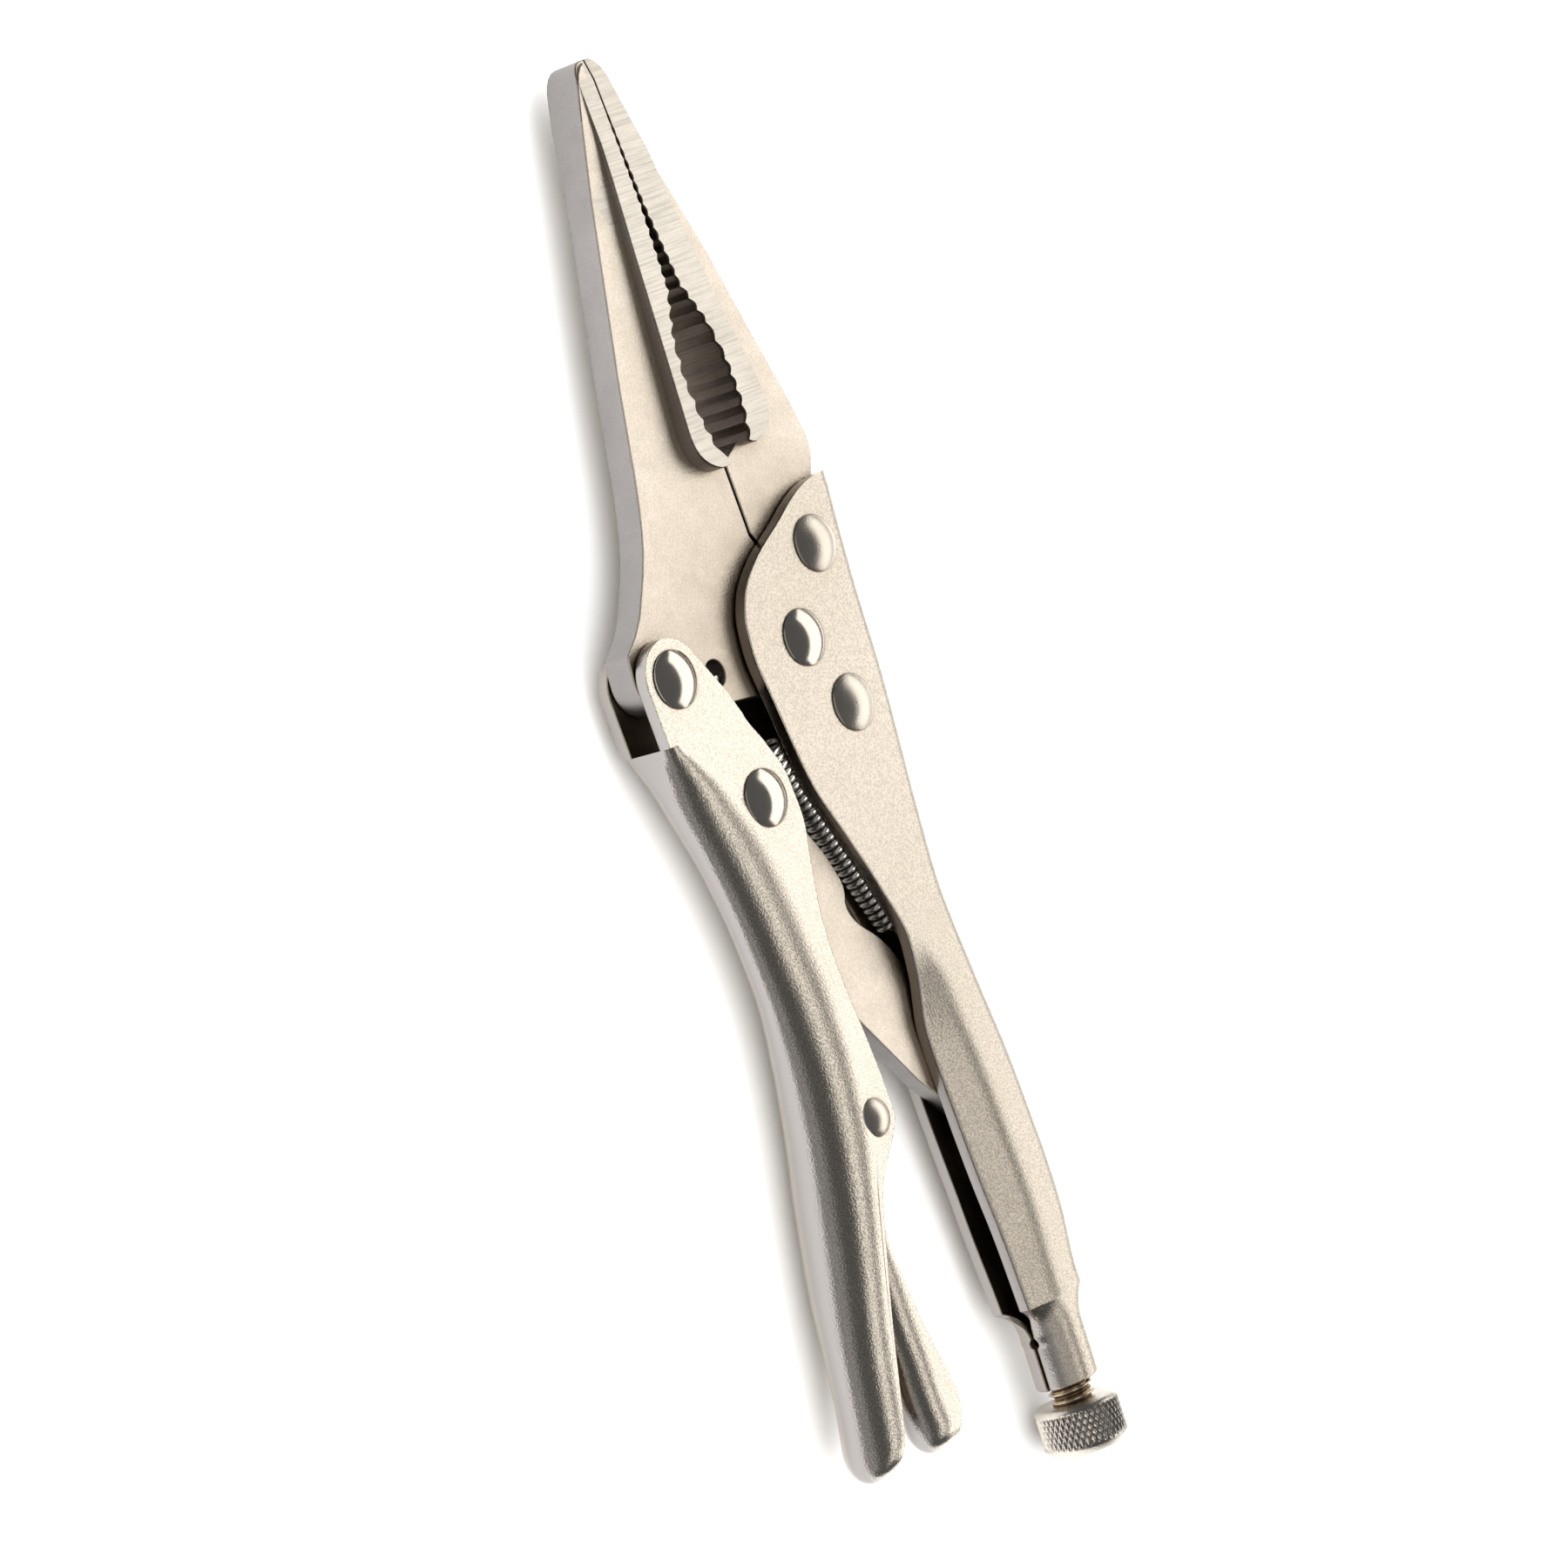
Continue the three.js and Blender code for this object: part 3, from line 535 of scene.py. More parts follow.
piece(
    "moving_jaw_steel",
    [moved(plate(moving_web, WEB / 2, WEB_BEVEL, [(SPRING_HOLE, SPRING_HOLE_R)]), thickened),
     pad(moving_pad)],
    jaw_metals, "jaw", ["moving_jaw"],
    paint=jaw_paint(4.2, 10.45, -1),
)

fixed_web = [
    (12.2, 115.2), (11.2, 115.5), (11.2, 100.0), (12.4, 78.0), (15.2, 71.5), (16.3, 65.0),
    (16.1, 57.5), (14.8, 52.6), (11.4, 51.0), (9.8, 50), (9.8, 38.4), *arc(JAW_PIVOT, 9.4, 50, -62, 24),
    (12.2, 9), (11.4, 5), (11.8, 1.4), (14, -1.2), (19.6, -1.2), (22, 0.6), (23.2, 4), (24.2, 12),
    (25.1, 23), (26.2, 33), (27.4, 42.2), (28.4, 43.2), (29.2, 44.4), (29.9, 45.7), (30.3, 47),
    (30.45, 48.4), (30.4, 49.6), (29.8, 53.2), (28.8, 57.5), (26, 68.5), (23, 81.3), (19, 94.6),
    (15.6, 103.4), (14.2, 110), (13.4, 113.4),
]
fixed_pad = [
    *gripping_edge(1), (14.6, 51.5), (15.6, 51.3), (17.2, 51.7), (18.6, 52.4), (19.8, 53.2), (20.6, 54.2),
    (21.2, 55.5), (21.4, 57), (21.2, 60), (20, 68.5), (18.6, 77.5), (17.3, 90), (16.4, 100.4),
    (15.6, 103.6), (14.3, 110), (13.7, 113.2), (13.3, 114.4), (12.6, 115.4), (11.7, 115.95),
]
piece(
    "fixed_jaw_steel",
    [plate(fixed_web, WEB / 2, WEB_BEVEL), pad(fixed_pad)],
    jaw_metals, "fixed_side", ["fixed_jaw"],
    paint=jaw_paint(10.35, 16.5, 1),
)


# ---------------------------------------------------------------- folded sheet
def flat_sided(t, bend=0.55):
    """From 0 to 1: straight up to `bend`, then levelling out."""
    rest = 1 - bend
    return (t - max(0.0, t - bend) ** 2 / (2 * rest)) / (1 - rest / 2)


def half_path(y, lip, spine, half, mouth, roll, bend_x, bend_z, n, facet=0.0, swell=0.0):
    """Outline of a channel's upper half from its lip to the middle of its spine; `facet` makes
    the curl at the lip flat-sided (1) in place of round (0), `swell` lifts the start of the bend."""
    way = 1.0 if spine > lip else -1.0
    depth = abs(spine - lip)
    roll = min(roll, depth / 2)
    bend_x = min(bend_x, depth - roll)
    bend_z = min(bend_z, half)
    points = []
    for t in np.linspace(0, 1, n):
        angle = t * math.pi / 2
        x = t * facet + (1 - math.cos(angle)) * (1 - facet)
        z = flat_sided(t) * facet + math.sin(angle) * (1 - facet)
        points.append((lip + way * roll * x, y, mouth + (half - mouth) * z))
    flat = max(0.0, depth - roll - bend_x)
    points.append((lip + way * (roll + min(0.3, flat / 6)), y, half))
    run_up = min(2.4, 0.6 * flat)
    for share in (0.0, 0.25, 0.5, 0.75, 1.0):
        lift = swell * (3 * share ** 2 - 2 * share ** 3)
        points.append((spine - way * (bend_x + (1 - share) * run_up), y, half + lift))
    for angle in np.linspace(math.pi / 2, 0, 2 * n):
        rise = half + swell * math.sin(angle) ** 4 - bend_z + bend_z * math.sin(angle)
        points.append((spine - way * bend_x * (1 - math.cos(angle)), y, rise))
    return np.array(points)


def eased(path, corner, ease):
    """The path with its first corner rounded towards the point `corner` across the lip."""
    across = corner - path[0]
    width = np.linalg.norm(across)
    r = min(ease, 0.45 * width)
    across = across / max(width, 1e-9)
    away = np.linalg.norm(path - path[0], axis=1)
    far = next((i for i, d in enumerate(away) if d > r), len(path) - 1)
    run = path[far] - path[0]
    run = run / max(np.linalg.norm(run), 1e-9)
    rest = path.copy()
    for i in range(far):
        rest[i] = path[0] + r * run
    start = [path[0] + r * across, path[0] + 0.3 * r * (across + run)]
    return np.vstack([start, rest])


def channel_ring(outer, inner):
    """A ring round the sheet of a channel from the outlines of its outer and inner upper halves."""
    first, second = eased(outer, inner[0], CUT_EASE), eased(inner, outer[0], CUT_EASE)
    flip = np.array([1.0, 1.0, -1.0])
    around = np.vstack([first, first[::-1] * flip])
    back = np.vstack([second, second[::-1] * flip])[::-1]
    return [tuple(p) for p in np.vstack([around, back])]


def sheet_paint(spine):
    """Inside of a channel 1, dark as painted shade; its outside and cut edges 0."""

    def choose(centre, normal):
        x, y, z = centre
        off = x - spine(y)
        under_side_plate = z * normal.z < -0.25 * abs(z)
        inside_spine = 1.5 < abs(off) < 3.2 and abs(z) < 3.6 and normal.x * off > 0.5 * abs(off)
        return 1 if under_side_plate or inside_spine else 0

    return choose


def screw_axis_x(y):
    return LINK_END[0] + math.tan(SCREW_LEAN) * (y - LINK_END[1])


fixed_spine = along([
    (44, 31.4), (33, 30.2), (23, 29.1), (11, 28.2), (0, 26.8), (-12, 25.1), (-28, 23.6),
    (-40, 23.7), (-52, 24), (-68, 24), (-80, 23.5), (-92, 22.2),
])
fixed_lip = along([
    (43.05, 28.4), (42.8, 24.6), (41.4, 19.8), (38.4, 13.8), (34.6, 6.2), (30.4, 1.1), (25.4, -1.4),
    (20, -2.1), (14, -1.5), (5, -0.5), (-1, 0.4), (-11, 3.9), (-20, 7), (-30, 9.3), (-36, 9.1),
    (-45, 7.2), (-60, 7), (-92, 7.6),
])
fixed_half = along([(-22, HALF_FOLD), (-44, 6), (-58, 6.6), (-76, 6.7), (-92, 6.1)])
fixed_inset = along([(-28, 0), (-40, 1.6), (-52, 2.6), (-70, 2.8), (-92, 2.2)])
fixed_roll = along([(-20, 0.4), (-34, 5), (-50, 9.5), (-92, 9.5)])


def neck(y):
    """0 in the open channel, 1 in the rolled collar; it starts at a sharp ledge."""
    t = min(1.0, max(0.0, (NECK_Y - y) / (NECK_Y - COLLAR_Y)))
    return 1 - (1 - t) ** 2


def seam_half(y):
    """Half the width of the collar's seam, which starts in a small round relief."""
    off = y - RELIEF_Y
    return max(SEAM_HALF, math.sqrt(max(0.0, RELIEF_R ** 2 - off ** 2)))


def fixed_path(y, inside):
    rolled = neck(y)
    wall = COLLAR_R - COLLAR_BORE_R
    sheet = (SHEET + (wall - SHEET) * rolled) if inside else 0.0
    near_end = max(0.0, 1 - (y - COLLAR_END) / COLLAR_END_EASE)
    tuck = 0.0 if inside else 0.35 * (1 - math.sqrt(max(0.0, 1 - near_end ** 2)))
    axis = screw_axis_x(y)
    collar = COLLAR_R - tuck
    seam = seam_half(y)
    bend = FIXED_BEND - min(sheet, SHEET)

    def mix(open_value, collar_value):
        return open_value + (collar_value - open_value) * rolled

    half = mix(fixed_half(y), collar) - sheet
    mouth = mix(fixed_half(y) - fixed_inset(y) - (SHEET if inside else 0.0), seam)
    lip = mix(fixed_lip(y), axis - collar + sheet)
    spine = mix(fixed_spine(y), axis + collar) - sheet
    return half_path(y, lip, spine, half, max(mouth, seam), mix(fixed_roll(y), collar - sheet),
                     mix(bend, collar - sheet), mix(min(bend, half), collar - sheet), 12, 1 - rolled)


# Heights of the rings, closest together at the rounded top, on the ledge and round the relief.
levels = [
    *[43.0 - 23.0 * (i / 30) ** 2 for i in range(31)],
    *np.linspace(18.8, NECK_Y, 84),
    *np.linspace(NECK_Y - 0.25, COLLAR_Y - 1.6, 26),
    *np.linspace(COLLAR_Y - 2.2, COLLAR_END + 0.6, 8),
    *[COLLAR_END + COLLAR_END_EASE * (1 - math.sin(math.radians(a))) for a in (0, 30, 55, 75, 90)],
]
piece(
    "fixed_handle_sheet",
    [loft([channel_ring(fixed_path(y, False), fixed_path(y, True)) for y in levels])],
    [folded_dull_and_shaded, hollow], "fixed_side", ["fixed_handle"], crease=38,
    paint=sheet_paint(fixed_spine),
)

moving_spine = along([
    (14, -27.1), (5, -26), (-7, -23.2), (-18, -21.7), (-28, -21.3), (-38, -22.4), (-50, -25),
    (-62, -28.6), (-76, -32.5), (-90, -35.4), (-106, -38.6),
])
moving_lip = along([
    (14, -8.8), (8, -6.2), (2, -4), (-4, -3.8), (-12, -5.7), (-21, -7.8), (-30, -8.5), (-46, -8.9),
    (-53, -9.4), (-57, -13), (-61, -17), (-66, -19.6), (-77, -23.6), (-90, -27.6), (-99, -31),
    (-106, -34),
])
moving_half = along([(-22, HALF_FOLD), (-46, 6.6), (-57, 7), (-68, 6.8), (-92, 5.4)])
moving_bend_x = along([
    (13.5, 2.2), (10, 4.4), (3, 7.6), (-10, 9.5), (-30, 9.5), (-50, 9.3), (-66, 8.4), (-90, 7), (-104, 6),
])
moving_bend_z = along([(13.5, 2.2), (10, 3.8), (5, 5), (-20, 5.1), (-46, 6.4), (-57, 6.8), (-104, 6.8)])


MOVING_ROLL = 0.4
END_CORNER = 3.3  # how far the spine draws in at the rounded end
BEND_SWELL = 0.28
NOTCH_DIP = 1.5
DIP_REACH = 6.0


def end_level(turn, end, radius, sheet):
    """Height on the rounded end after `turn` degrees, for the skin or, with a sheet, the hollow."""
    return end + sheet + (radius - sheet) * (1 - math.sin(math.radians(turn)))


def moving_path(y, inside, closing):
    sheet = SHEET if inside else 0.0
    half = (moving_half(y) - sheet) * closing
    bend_z = max(0.0, min(moving_bend_z(y), moving_half(y) - 0.05) - sheet) * closing
    corner = min(END_CORNER * (1 - closing), moving_lip(y) - moving_spine(y) - sheet - 0.5)
    swell = 0.0 if inside else BEND_SWELL * closing * min(1.0, (NOTCH_Y - y) / 8)
    return half_path(y, moving_lip(y), moving_spine(y) + sheet + corner, half, half, MOVING_ROLL,
                     max((moving_bend_x(y) - sheet) * closing, 0.1), bend_z, 9, swell=swell)


def dipped(ring, y, spine, half):
    """Lowers the sheet's cut edge in the middle of the spine, as folding pulls it."""
    fade = max(0.0, 1 - (NOTCH_Y - y) / DIP_REACH)
    low = []
    for x, _, z in ring:
        middle = max(0.0, 1 - (z / half) ** 2) * max(0.0, 1 - (x - spine) / DIP_REACH)
        low.append((x, y - NOTCH_DIP * fade * middle, z))
    return low


def handle_rings(path, straight, end, radius, sheet):
    rings = [channel_ring(path(y, False, 1.0), path(y, True, 1.0)) for y in straight]
    for turn in (0, 12, 24, 36, 47, 57, 66, 74, 81, 86, 90):
        closing = math.cos(math.radians(turn)) if turn < 90 else 0.0
        rings.append(channel_ring(path(end_level(turn, end, radius, 0.0), False, closing),
                                  path(end_level(turn, end, radius, sheet), True, closing)))
    return rings


LOBE_RIGHT = ((NOTCH_Y, 17.6, 25.5), (-8.76, -10.4, -14.74))  # heights, and the edge's place at each


def lobe_side(y):
    """Left and right edges of the plates above the notch, round the handle pivot."""
    px, py = HANDLE_PIVOT
    reach = math.sqrt(max(0.0, LOBE_R ** 2 - (y - py) ** 2))
    left = px - (reach if y > py else LOBE_R)
    if y > LOBE_RIGHT[0][-1]:
        return left, px + reach
    return left, float(np.interp(y, *LOBE_RIGHT))


def lobe_ring(y, low, high):
    """A ring round one plate, with its four corners eased."""
    left, right = lobe_side(y)
    ease = min(CUT_EASE, (right - left) / 4)
    corner = ((ease, 0.0), (0.3 * ease, 0.3 * ease), (0.0, ease))
    ring = [(left + a, y, low + b) for a, b in corner]
    ring += [(left + a, y, high - b) for a, b in reversed(corner)]
    ring += [(right - a, y, high - b) for a, b in corner]
    ring += [(right - a, y, low + b) for a, b in reversed(corner)]
    return ring


lobe_levels = [NOTCH_Y, *np.linspace(14.2, HANDLE_PIVOT[1], 12)]
lobe_levels += [HANDLE_PIVOT[1] + LOBE_R * math.sin(math.radians(a)) for a in np.linspace(6, 89, 22)]
inner_face = HALF_FOLD - SHEET
lobes = [
    loft([lobe_ring(y, inner_face, HALF_FOLD) for y in lobe_levels]),
    loft([lobe_ring(y, -HALF_FOLD, -inner_face) for y in lobe_levels]),
]
below_notch = np.linspace(NOTCH_Y, 6, 16)
straight = [*below_notch, *np.linspace(4.8, HANDLE_END + HANDLE_END_R + 1, 80)]
moving_rings = handle_rings(moving_path, straight, HANDLE_END, HANDLE_END_R, SHEET)
for i, y in enumerate(below_notch):
    moving_rings[i] = dipped(moving_rings[i], y, moving_spine(y), inner_face)
piece(
    "moving_handle_sheet", [loft(moving_rings, True, False), *lobes],
    [folded, hollow], "handle", ["moving_handle"], crease=38,
    paint=sheet_paint(moving_spine),
)

lever_spine = along([
    (-29, -14.8), (-40, -17.2), (-52, -19.6), (-62, -20.9), (-74, -21.8), (-88, -22.4), (-96, -23.2),
    (-104, -23),
])
lever_lip = along([
    (-29, -11), (-36, -11.6), (-45, -11.4), (-52, -10.2), (-58, -13), (-64, -16.3), (-70, -17.2),
    (-78, -16.7), (-90, -15.3), (-97, -14.6), (-104, -16.4),
])
lever_half = along([
    (-29, 2.6), (-40, 3.4), (-50, 4), (-62, 4.1), (-72, 3.7), (-84, 3.5), (-95, 4), (-104, 4.2),
])


LEVER_BEND = 4.0
LEVER_ROLL = 0.3
LEVER_END_CORNER = 2.8  # as END_CORNER, on the lever


def lever_path(y, inside, closing):
    sheet = LEVER_SHEET if inside else 0.0
    half = (lever_half(y) - sheet) * closing
    bend = (LEVER_BEND - sheet) * closing
    spine = lever_spine(y) + sheet + LEVER_END_CORNER * (1 - closing)
    bend_x = max(min(bend + 1, LEVER_BEND + 1 - sheet), LEVER_ROLL)
    return half_path(y, lever_lip(y), spine, half, half, LEVER_ROLL, bend_x, bend, 8)


straight = np.linspace(LEVER_TOP, LEVER_END + LEVER_END_R + 0.8, 60)
lever_rings = handle_rings(lever_path, straight, LEVER_END, LEVER_END_R, LEVER_SHEET)
piece(
    "release_lever_sheet", [loft(lever_rings, True, False)],
    [folded, hollow], "lever", ["release_lever"], crease=38,
    paint=sheet_paint(lever_spine),
)


# ---------------------------------------------------------------- link and rivets
link_outline = [
    *arc(LINK_PIVOT, 5, 190, 20, 20), (-3, -4), (-0.2, -8.9), (1.6, -12.6), (2.6, -15.8), (3.0, -17.2),
    (3.1, -18.4), (2.8, -19.6), (2.2, -20.8), (2.1, -21.8), (2.3, -22.8), (2.8, -23.9), (3.6, -25),
    (4.7, -26.1), (5.9, -27.2), (7.2, -28.7), (8.4, -30.5), (12.4, -39), (17.6, -53), (20.6, -63),
    *arc(LINK_END, 3.4, 10, -150, 16), (12, -61), (3.9, -51.4), (-4.1, -38.7), (-9, -29), (-13.6, -16),
]


def faces_and_edges(centre, normal):
    return 0 if abs(normal.z) > 0.5 else 1


piece(
    "toggle_link_plate", [plate(link_outline, LINK_PLATE / 2, 0.3)],
    [blasted, edge], "link", ["toggle_link"], paint=faces_and_edges,
)


HEAD_GAP = 0.02  # between a head and the plate under it
RIM_SHARE = 0.14  # of the head's height: its upright rim under the dome


def rivet(name, at, half, shank, head, height, material, body, cad_node, slot):
    """A shank with a domed head outside each plate; half is the plates' outer half width."""
    seat = half + HEAD_GAP
    rim = RIM_SHARE * height
    sphere = (head ** 2 + (height - rim) ** 2) / (2 * (height - rim))
    centre = seat + height - sphere
    upper = [(shank, seat), (head * 0.98, seat), (head, seat + 0.06), (head, seat + 0.7 * rim)]
    for share in (0.985, 0.95, 0.9, 0.82, 0.72, 0.6, 0.46, 0.3, 0.15):
        r = head * share
        upper.append((r, centre + math.sqrt(sphere ** 2 - r ** 2)))
    upper.append((0.0, seat + height))
    lower = [(r, -z) for r, z in reversed(upper)]
    part = moved(revolve([*lower, *upper], 64), lambda x, y, z: (x + at[0], y + at[1], z))
    piece(name, [part], [material], body, [cad_node], crease=50)


BIG = (2.5, 4.7, 2.0)  # radius of the shank, radius and height of the head
SMALL = (1.6, 3.1, 1.5)
for name, at, material, body, cad_node, slot in (
    ("jaw_rivet_front_head", JAW_RIVET_FRONT, satin_rivet, "fixed_side", "fixed_jaw_rivet_front",
     "satin_nickel"),
    ("jaw_rivet_rear_head", JAW_RIVET_REAR, satin_rivet, "fixed_side", "fixed_jaw_rivet_rear",
     "satin_nickel"),
    ("jaw_pivot_head", JAW_PIVOT, polished, "fixed_side", "jaw_pivot_rivet", "polished_rivet"),
    ("handle_pivot_head", HANDLE_PIVOT, polished, "handle", "handle_pivot_rivet", "polished_rivet"),
    ("link_head", LINK_PIVOT, polished, "handle", "link_rivet", "polished_rivet"),
):
    rivet(name, at, HALF_FOLD, *BIG, material, body, cad_node, slot)
rivet("lever_head", LEVER_PIVOT, moving_half(LEVER_PIVOT[1]), *SMALL, satin_rivet, "handle",
      "lever_rivet", "polished_rivet")


# ---------------------------------------------------------------- screw and knob
def on_screw_axis(part):
    """Stands a part drawn about Z, with z measured from the link's end, on the leaning screw."""
    cos, sin = math.cos(SCREW_LEAN), math.sin(SCREW_LEAN)

    def change(x, y, z):
        return LINK_END[0] + x * cos - z * sin, LINK_END[1] - x * sin - z * cos, y

    return moved(part, change)


def thread():
    """A right-hand thread: the radius at each height turns with the angle."""
    segments = 48
    low, high = SCREW_TIP + 1.2, KNOB_TOP - 0.4
    rings = [circle(0.001, SCREW_TIP, segments)]
    for s in np.linspace(low, high, int((high - low) / THREAD_PITCH * 14)):
        ring = []
        for i in range(segments):
            a = 2 * math.pi * i / segments
            turn = (s / THREAD_PITCH - i / segments) % 1.0
            ridge = min(1.0, max(0.0, 1.2 - 2.9 * abs(turn - 0.5)))  # flat crest, sloping flanks
            taper = min(1.0, (s - low) / 1.5 + 0.45)
            r = taper * (SCREW_R - THREAD_DEPTH + THREAD_DEPTH * ridge)
            ring.append((r * math.cos(a), r * math.sin(a), s))
        rings.append(ring)
    return loft([*rings, circle(2.4, KNOB_TOP + 3, segments)])


# The dark of the thread's groove is painted shade.
GROOVE_SHARE = 0.62  # how far down its depth the dark groove of the thread starts


def root_or_crest(centre, normal):
    """1 in the groove of the thread, dark as painted shade, 0 on its crest."""
    x, y, z = centre
    off = (x - screw_axis_x(y)) * math.cos(SCREW_LEAN)
    return 1 if math.hypot(off, z) < SCREW_R - GROOVE_SHARE * THREAD_DEPTH else 0


piece("screw_thread", [on_screw_axis(thread())], [turned_steel, thread_root], "screw",
      ["adjusting_screw"], crease=60, paint=root_or_crest)


KNURL_DEPTH = 0.42
KNURL_COLUMNS = 42
KNURL_ROWS = 6.0


def triangle_wave(t):
    return abs((t % 1.0) * 2 - 1)


def knurled_knob():
    """A turned knob with a real diamond knurl between its plain top ring and its chamfer."""
    segments = 420
    low, high = KNOB_TOP + 0.8, KNOB_TOP + KNOB_H - 1.7
    end = KNOB_TOP + KNOB_H
    before = [(0.0, KNOB_TOP), (KNOB_R - 1.1, KNOB_TOP), (KNOB_R - 0.75, KNOB_TOP + 0.08),
              (KNOB_R - 0.25, KNOB_TOP + 0.5), (KNOB_R - 0.1, KNOB_TOP + 0.7)]
    after = [(KNOB_R - 0.35, end - 1.35), (KNOB_R - 1.0, end - 0.6), (KNOB_R - 1.6, end - 0.15),
             (KNOB_R - 2.2, end), (0.0, end)]
    rings = [circle(r, z, segments) for r, z in before]
    for z in np.linspace(low, high, 60):
        down = (z - low) / (high - low)
        fade = min(1.0, down * 14, (1 - down) * 9)
        ring = []
        for a in np.linspace(0, 2 * math.pi, segments, endpoint=False):
            round_knob = a / (2 * math.pi) * KNURL_COLUMNS
            slant = down * KNURL_ROWS / 2
            groove = max(triangle_wave(round_knob + slant), triangle_wave(round_knob - slant)) ** 1.6
            r = KNOB_R - 0.02 - KNURL_DEPTH * groove * fade
            ring.append((r * math.cos(a), r * math.sin(a), z))
        rings.append(ring)
    rings += [circle(r, z, segments) for r, z in after]
    return loft(rings, False, False)


piece("knurled_knob", [on_screw_axis(knurled_knob())], [knurl], "knob", ["adjusting_knob"],
      crease=75)


# ---------------------------------------------------------------- spring
SPRING_TOP = np.array([-0.6, 6.5, 0.0])
SPRING_BOTTOM = np.array([12.2, -27.5, 0.0])
COIL_R = 2.05
WIRE_R = 0.5
COILS = 28
ANCHOR = np.array([22.4, -34.0, 0.0])


def smooth_line(points, count):
    """Catmull-Rom line through points."""
    points = np.array([2 * points[0] - points[1], *points, 2 * points[-1] - points[-2]])
    line = []
    for i in range(1, len(points) - 2):
        a, b, c, d = points[i - 1:i + 3]
        for t in np.linspace(0, 1, count, endpoint=False):
            line.append(0.5 * (2 * b + (c - a) * t + (2 * a - 5 * b + 4 * c - d) * t ** 2
                               + (3 * b - a - 3 * c + d) * t ** 3))
    return [*line, points[-2]]


def spring_line():
    run = SPRING_BOTTOM - SPRING_TOP
    side = np.array([-run[1], run[0], 0.0]) / np.linalg.norm(run)
    up = np.array([0.0, 0.0, 1.0])

    def coil(t):
        a = 2 * math.pi * COILS * t - math.pi / 2
        return SPRING_TOP + run * t + COIL_R * (side * math.cos(a) + up * math.sin(a))

    hx, hy = SPRING_HOLE
    rear = -WEB / 2 - 0.75
    hook = [np.array([hx + 0.9, hy - 0.9, 1.6]), np.array([hx + 0.9, hy - 0.9, rear + 0.5]),
            np.array([hx + 1.5, hy - 1.9, rear]), np.array([hx + 4, hy - 6.2, rear + 0.2]), coil(0)]
    tail = [coil(1), SPRING_BOTTOM + (1.8, -1.6, -0.9), SPRING_BOTTOM + (4.6, -4.4, 0),
            ANCHOR - (2.5, 0, 0), ANCHOR]
    coils = [coil(t) for t in np.linspace(0, 1, COILS * 22)]
    return np.array([*smooth_line(hook, 10)[:-1], *coils, *smooth_line(tail, 10)[1:]])


def wire_rings(line, radius, sides):
    """Rings of a round wire, carried along its line without twist."""
    tangent = np.gradient(line, axis=0)
    tangent /= np.linalg.norm(tangent, axis=1)[:, None]
    normal = np.cross(tangent[0], (1.0, 0.3, 0.2))
    rings = []
    for p, t in zip(line, tangent):
        normal = normal - t * np.dot(normal, t)
        normal = normal / np.linalg.norm(normal)
        other = np.cross(t, normal)
        rings.append([tuple(p + radius * (normal * math.cos(a) + other * math.sin(a)))
                      for a in np.linspace(0, 2 * math.pi, sides, endpoint=False)])
    return rings


spring = piece("spring_coils", [loft(wire_rings(spring_line(), WIRE_R, sides=10))], [wire], None,
               ["tension_spring"], crease=60)
metres(SPRING_BOTTOM)
metres(SPRING_TOP)
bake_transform(spring)


# ---------------------------------------------------------------- studio
LIGHT_DISTANCE = 1.4
CAMERA_DISTANCE = 0.8
WARM = (1.0, 0.985, 0.96)
COOL = (0.97, 0.97, 1.0)

floor_data = bpy.data.meshes.new("floor")
floor_data.from_pydata([(-4, -4, 0), (4, -4, 0), (4, 4, 0), (-4, 4, 0)], [], [(0, 1, 2, 3)])
floor = bpy.data.objects.new("floor", floor_data)
floor.location.z = cad_box[0].z - 0.0002
bpy.context.scene.collection.objects.link(floor)

paper = bpy.data.materials.new("floor_paper")
paper.use_nodes = True
tree = paper.node_tree
surface = tree.nodes["Principled BSDF"]
surface.inputs["Roughness"].default_value = 0.7
place = node(tree, "ShaderNodeTexCoord")
tone = blend_colour(tree, noise(tree, place, 3.0, 2.0), (0.90, 0.90, 0.895), (0.87, 0.87, 0.865))
tree.links.new(tone, surface.inputs["Base Color"])
floor_data.materials.append(paper)


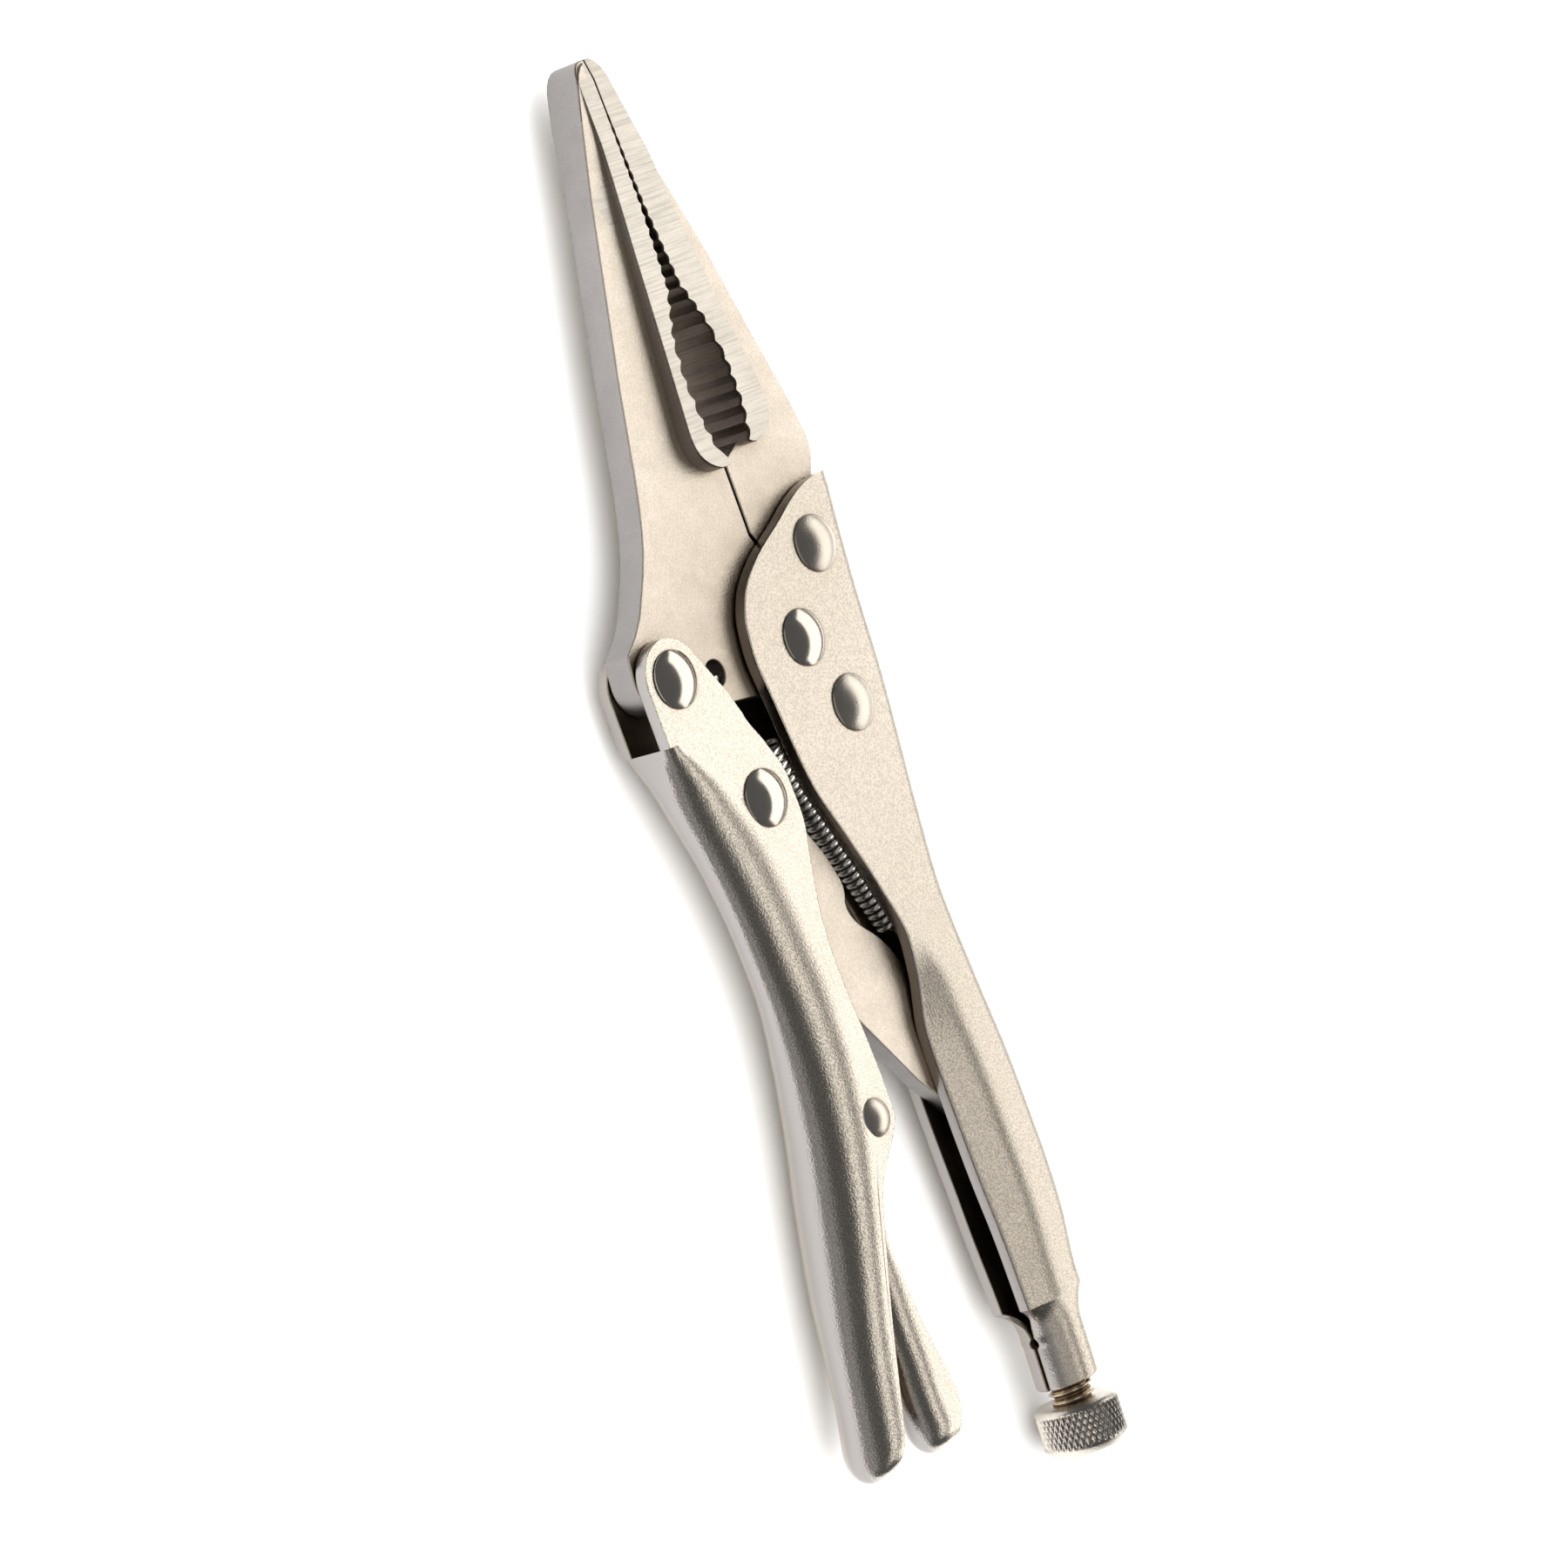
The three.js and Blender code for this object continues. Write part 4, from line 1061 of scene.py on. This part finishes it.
def softbox(name, height, width, length, radiance, colour=(1.0, 1.0, 1.0), glossy=True, only=()):
    """A long box over the tool; height is its angle in degrees up from the moving handle's side.
    It lights either the metal (glossy) or the floor; `only` names the pieces that it lights."""
    light = bpy.data.lights.new(name, "AREA")
    light.shape = "RECTANGLE"
    light.size, light.size_y = length, width
    light.energy = radiance * math.pi * length * width
    light.color = colour
    made = bpy.data.objects.new(name, light)
    angle = math.radians(height)
    direction = Vector((-math.cos(angle), -0.1, math.sin(angle))).normalized()
    across = Vector((0.0, 1.0, 0.0))
    upward = direction.cross(across).normalized()
    across = upward.cross(direction)
    turn = Matrix((across, upward, direction)).transposed().to_4x4()
    made.matrix_world = Matrix.Translation(Vector(ORIGIN) + LIGHT_DISTANCE * direction) @ turn
    made.visible_glossy = glossy
    made.visible_diffuse = not glossy
    bpy.context.scene.collection.objects.link(made)
    if only:
        made.light_linking.receiver_collection = bpy.data.collections.new(name + "_receivers")
        for lit in only:
            made.light_linking.receiver_collection.objects.link(bpy.data.objects[lit])


FLAT_STEEL = ("moving_jaw_steel", "fixed_jaw_steel", "toggle_link_plate")
softbox("key", height=145, width=1.25, length=2.8, radiance=1.38, colour=WARM)
softbox("room", height=20, width=0.85, length=3.4, radiance=0.26, colour=COOL)
softbox("strip", height=95, width=0.42, length=2.8, radiance=1.1, colour=(1.0, 0.98, 0.95),
        only=("moving_handle_sheet", "fixed_handle_sheet", "release_lever_sheet", *FLAT_STEEL))
softbox("far_side", height=58, width=1.1, length=2.8, radiance=0.42, colour=WARM,
        only=("fixed_handle_sheet", *FLAT_STEEL))
softbox("thread_glint", height=62, width=0.8, length=2.8, radiance=0.9, colour=(1.0, 0.98, 0.94),
        only=("screw_thread",))
softbox("glint", height=72, width=0.6, length=2.8, radiance=3.5, colour=(1.0, 0.99, 0.97),
        only=("spring_coils",))
softbox("sky", height=90, width=4.0, length=4.0, radiance=2.0, glossy=False)
softbox("floor_fill", height=40, width=2.4, length=3.0, radiance=1.1, glossy=False)

world = bpy.data.worlds.new("studio")
bpy.context.scene.world = world
world.use_nodes = True
world.node_tree.nodes["Background"].inputs["Color"].default_value = (0.80, 0.82, 0.85, 1.0)
world.node_tree.nodes["Background"].inputs["Strength"].default_value = 0.12

# Camera: about 42 degrees above the floor from the moving handle's side, rolled so that the
# tool stands nearly upright in the picture.
right = Vector((0.6055, -0.3402, 0.7195))
up = Vector((0.3039, 0.9344, 0.1861))
back = Vector((-0.7355, 0.1060, 0.6691))
camera_data = bpy.data.cameras.new("camera")
camera_data.lens = 117.8
camera_data.sensor_width = 36.0
camera_data.clip_start = 0.01
camera_data.clip_end = 50.0
camera = bpy.data.objects.new("camera", camera_data)
turn = Matrix((right, up, back)).transposed().to_4x4()
camera.matrix_world = Matrix.Translation(Vector(ORIGIN) + CAMERA_DISTANCE * back) @ turn
bpy.context.scene.collection.objects.link(camera)
bpy.context.scene.camera = camera

bpy.context.scene.view_settings.view_transform = "Standard"
bpy.context.scene.view_settings.look = "None"
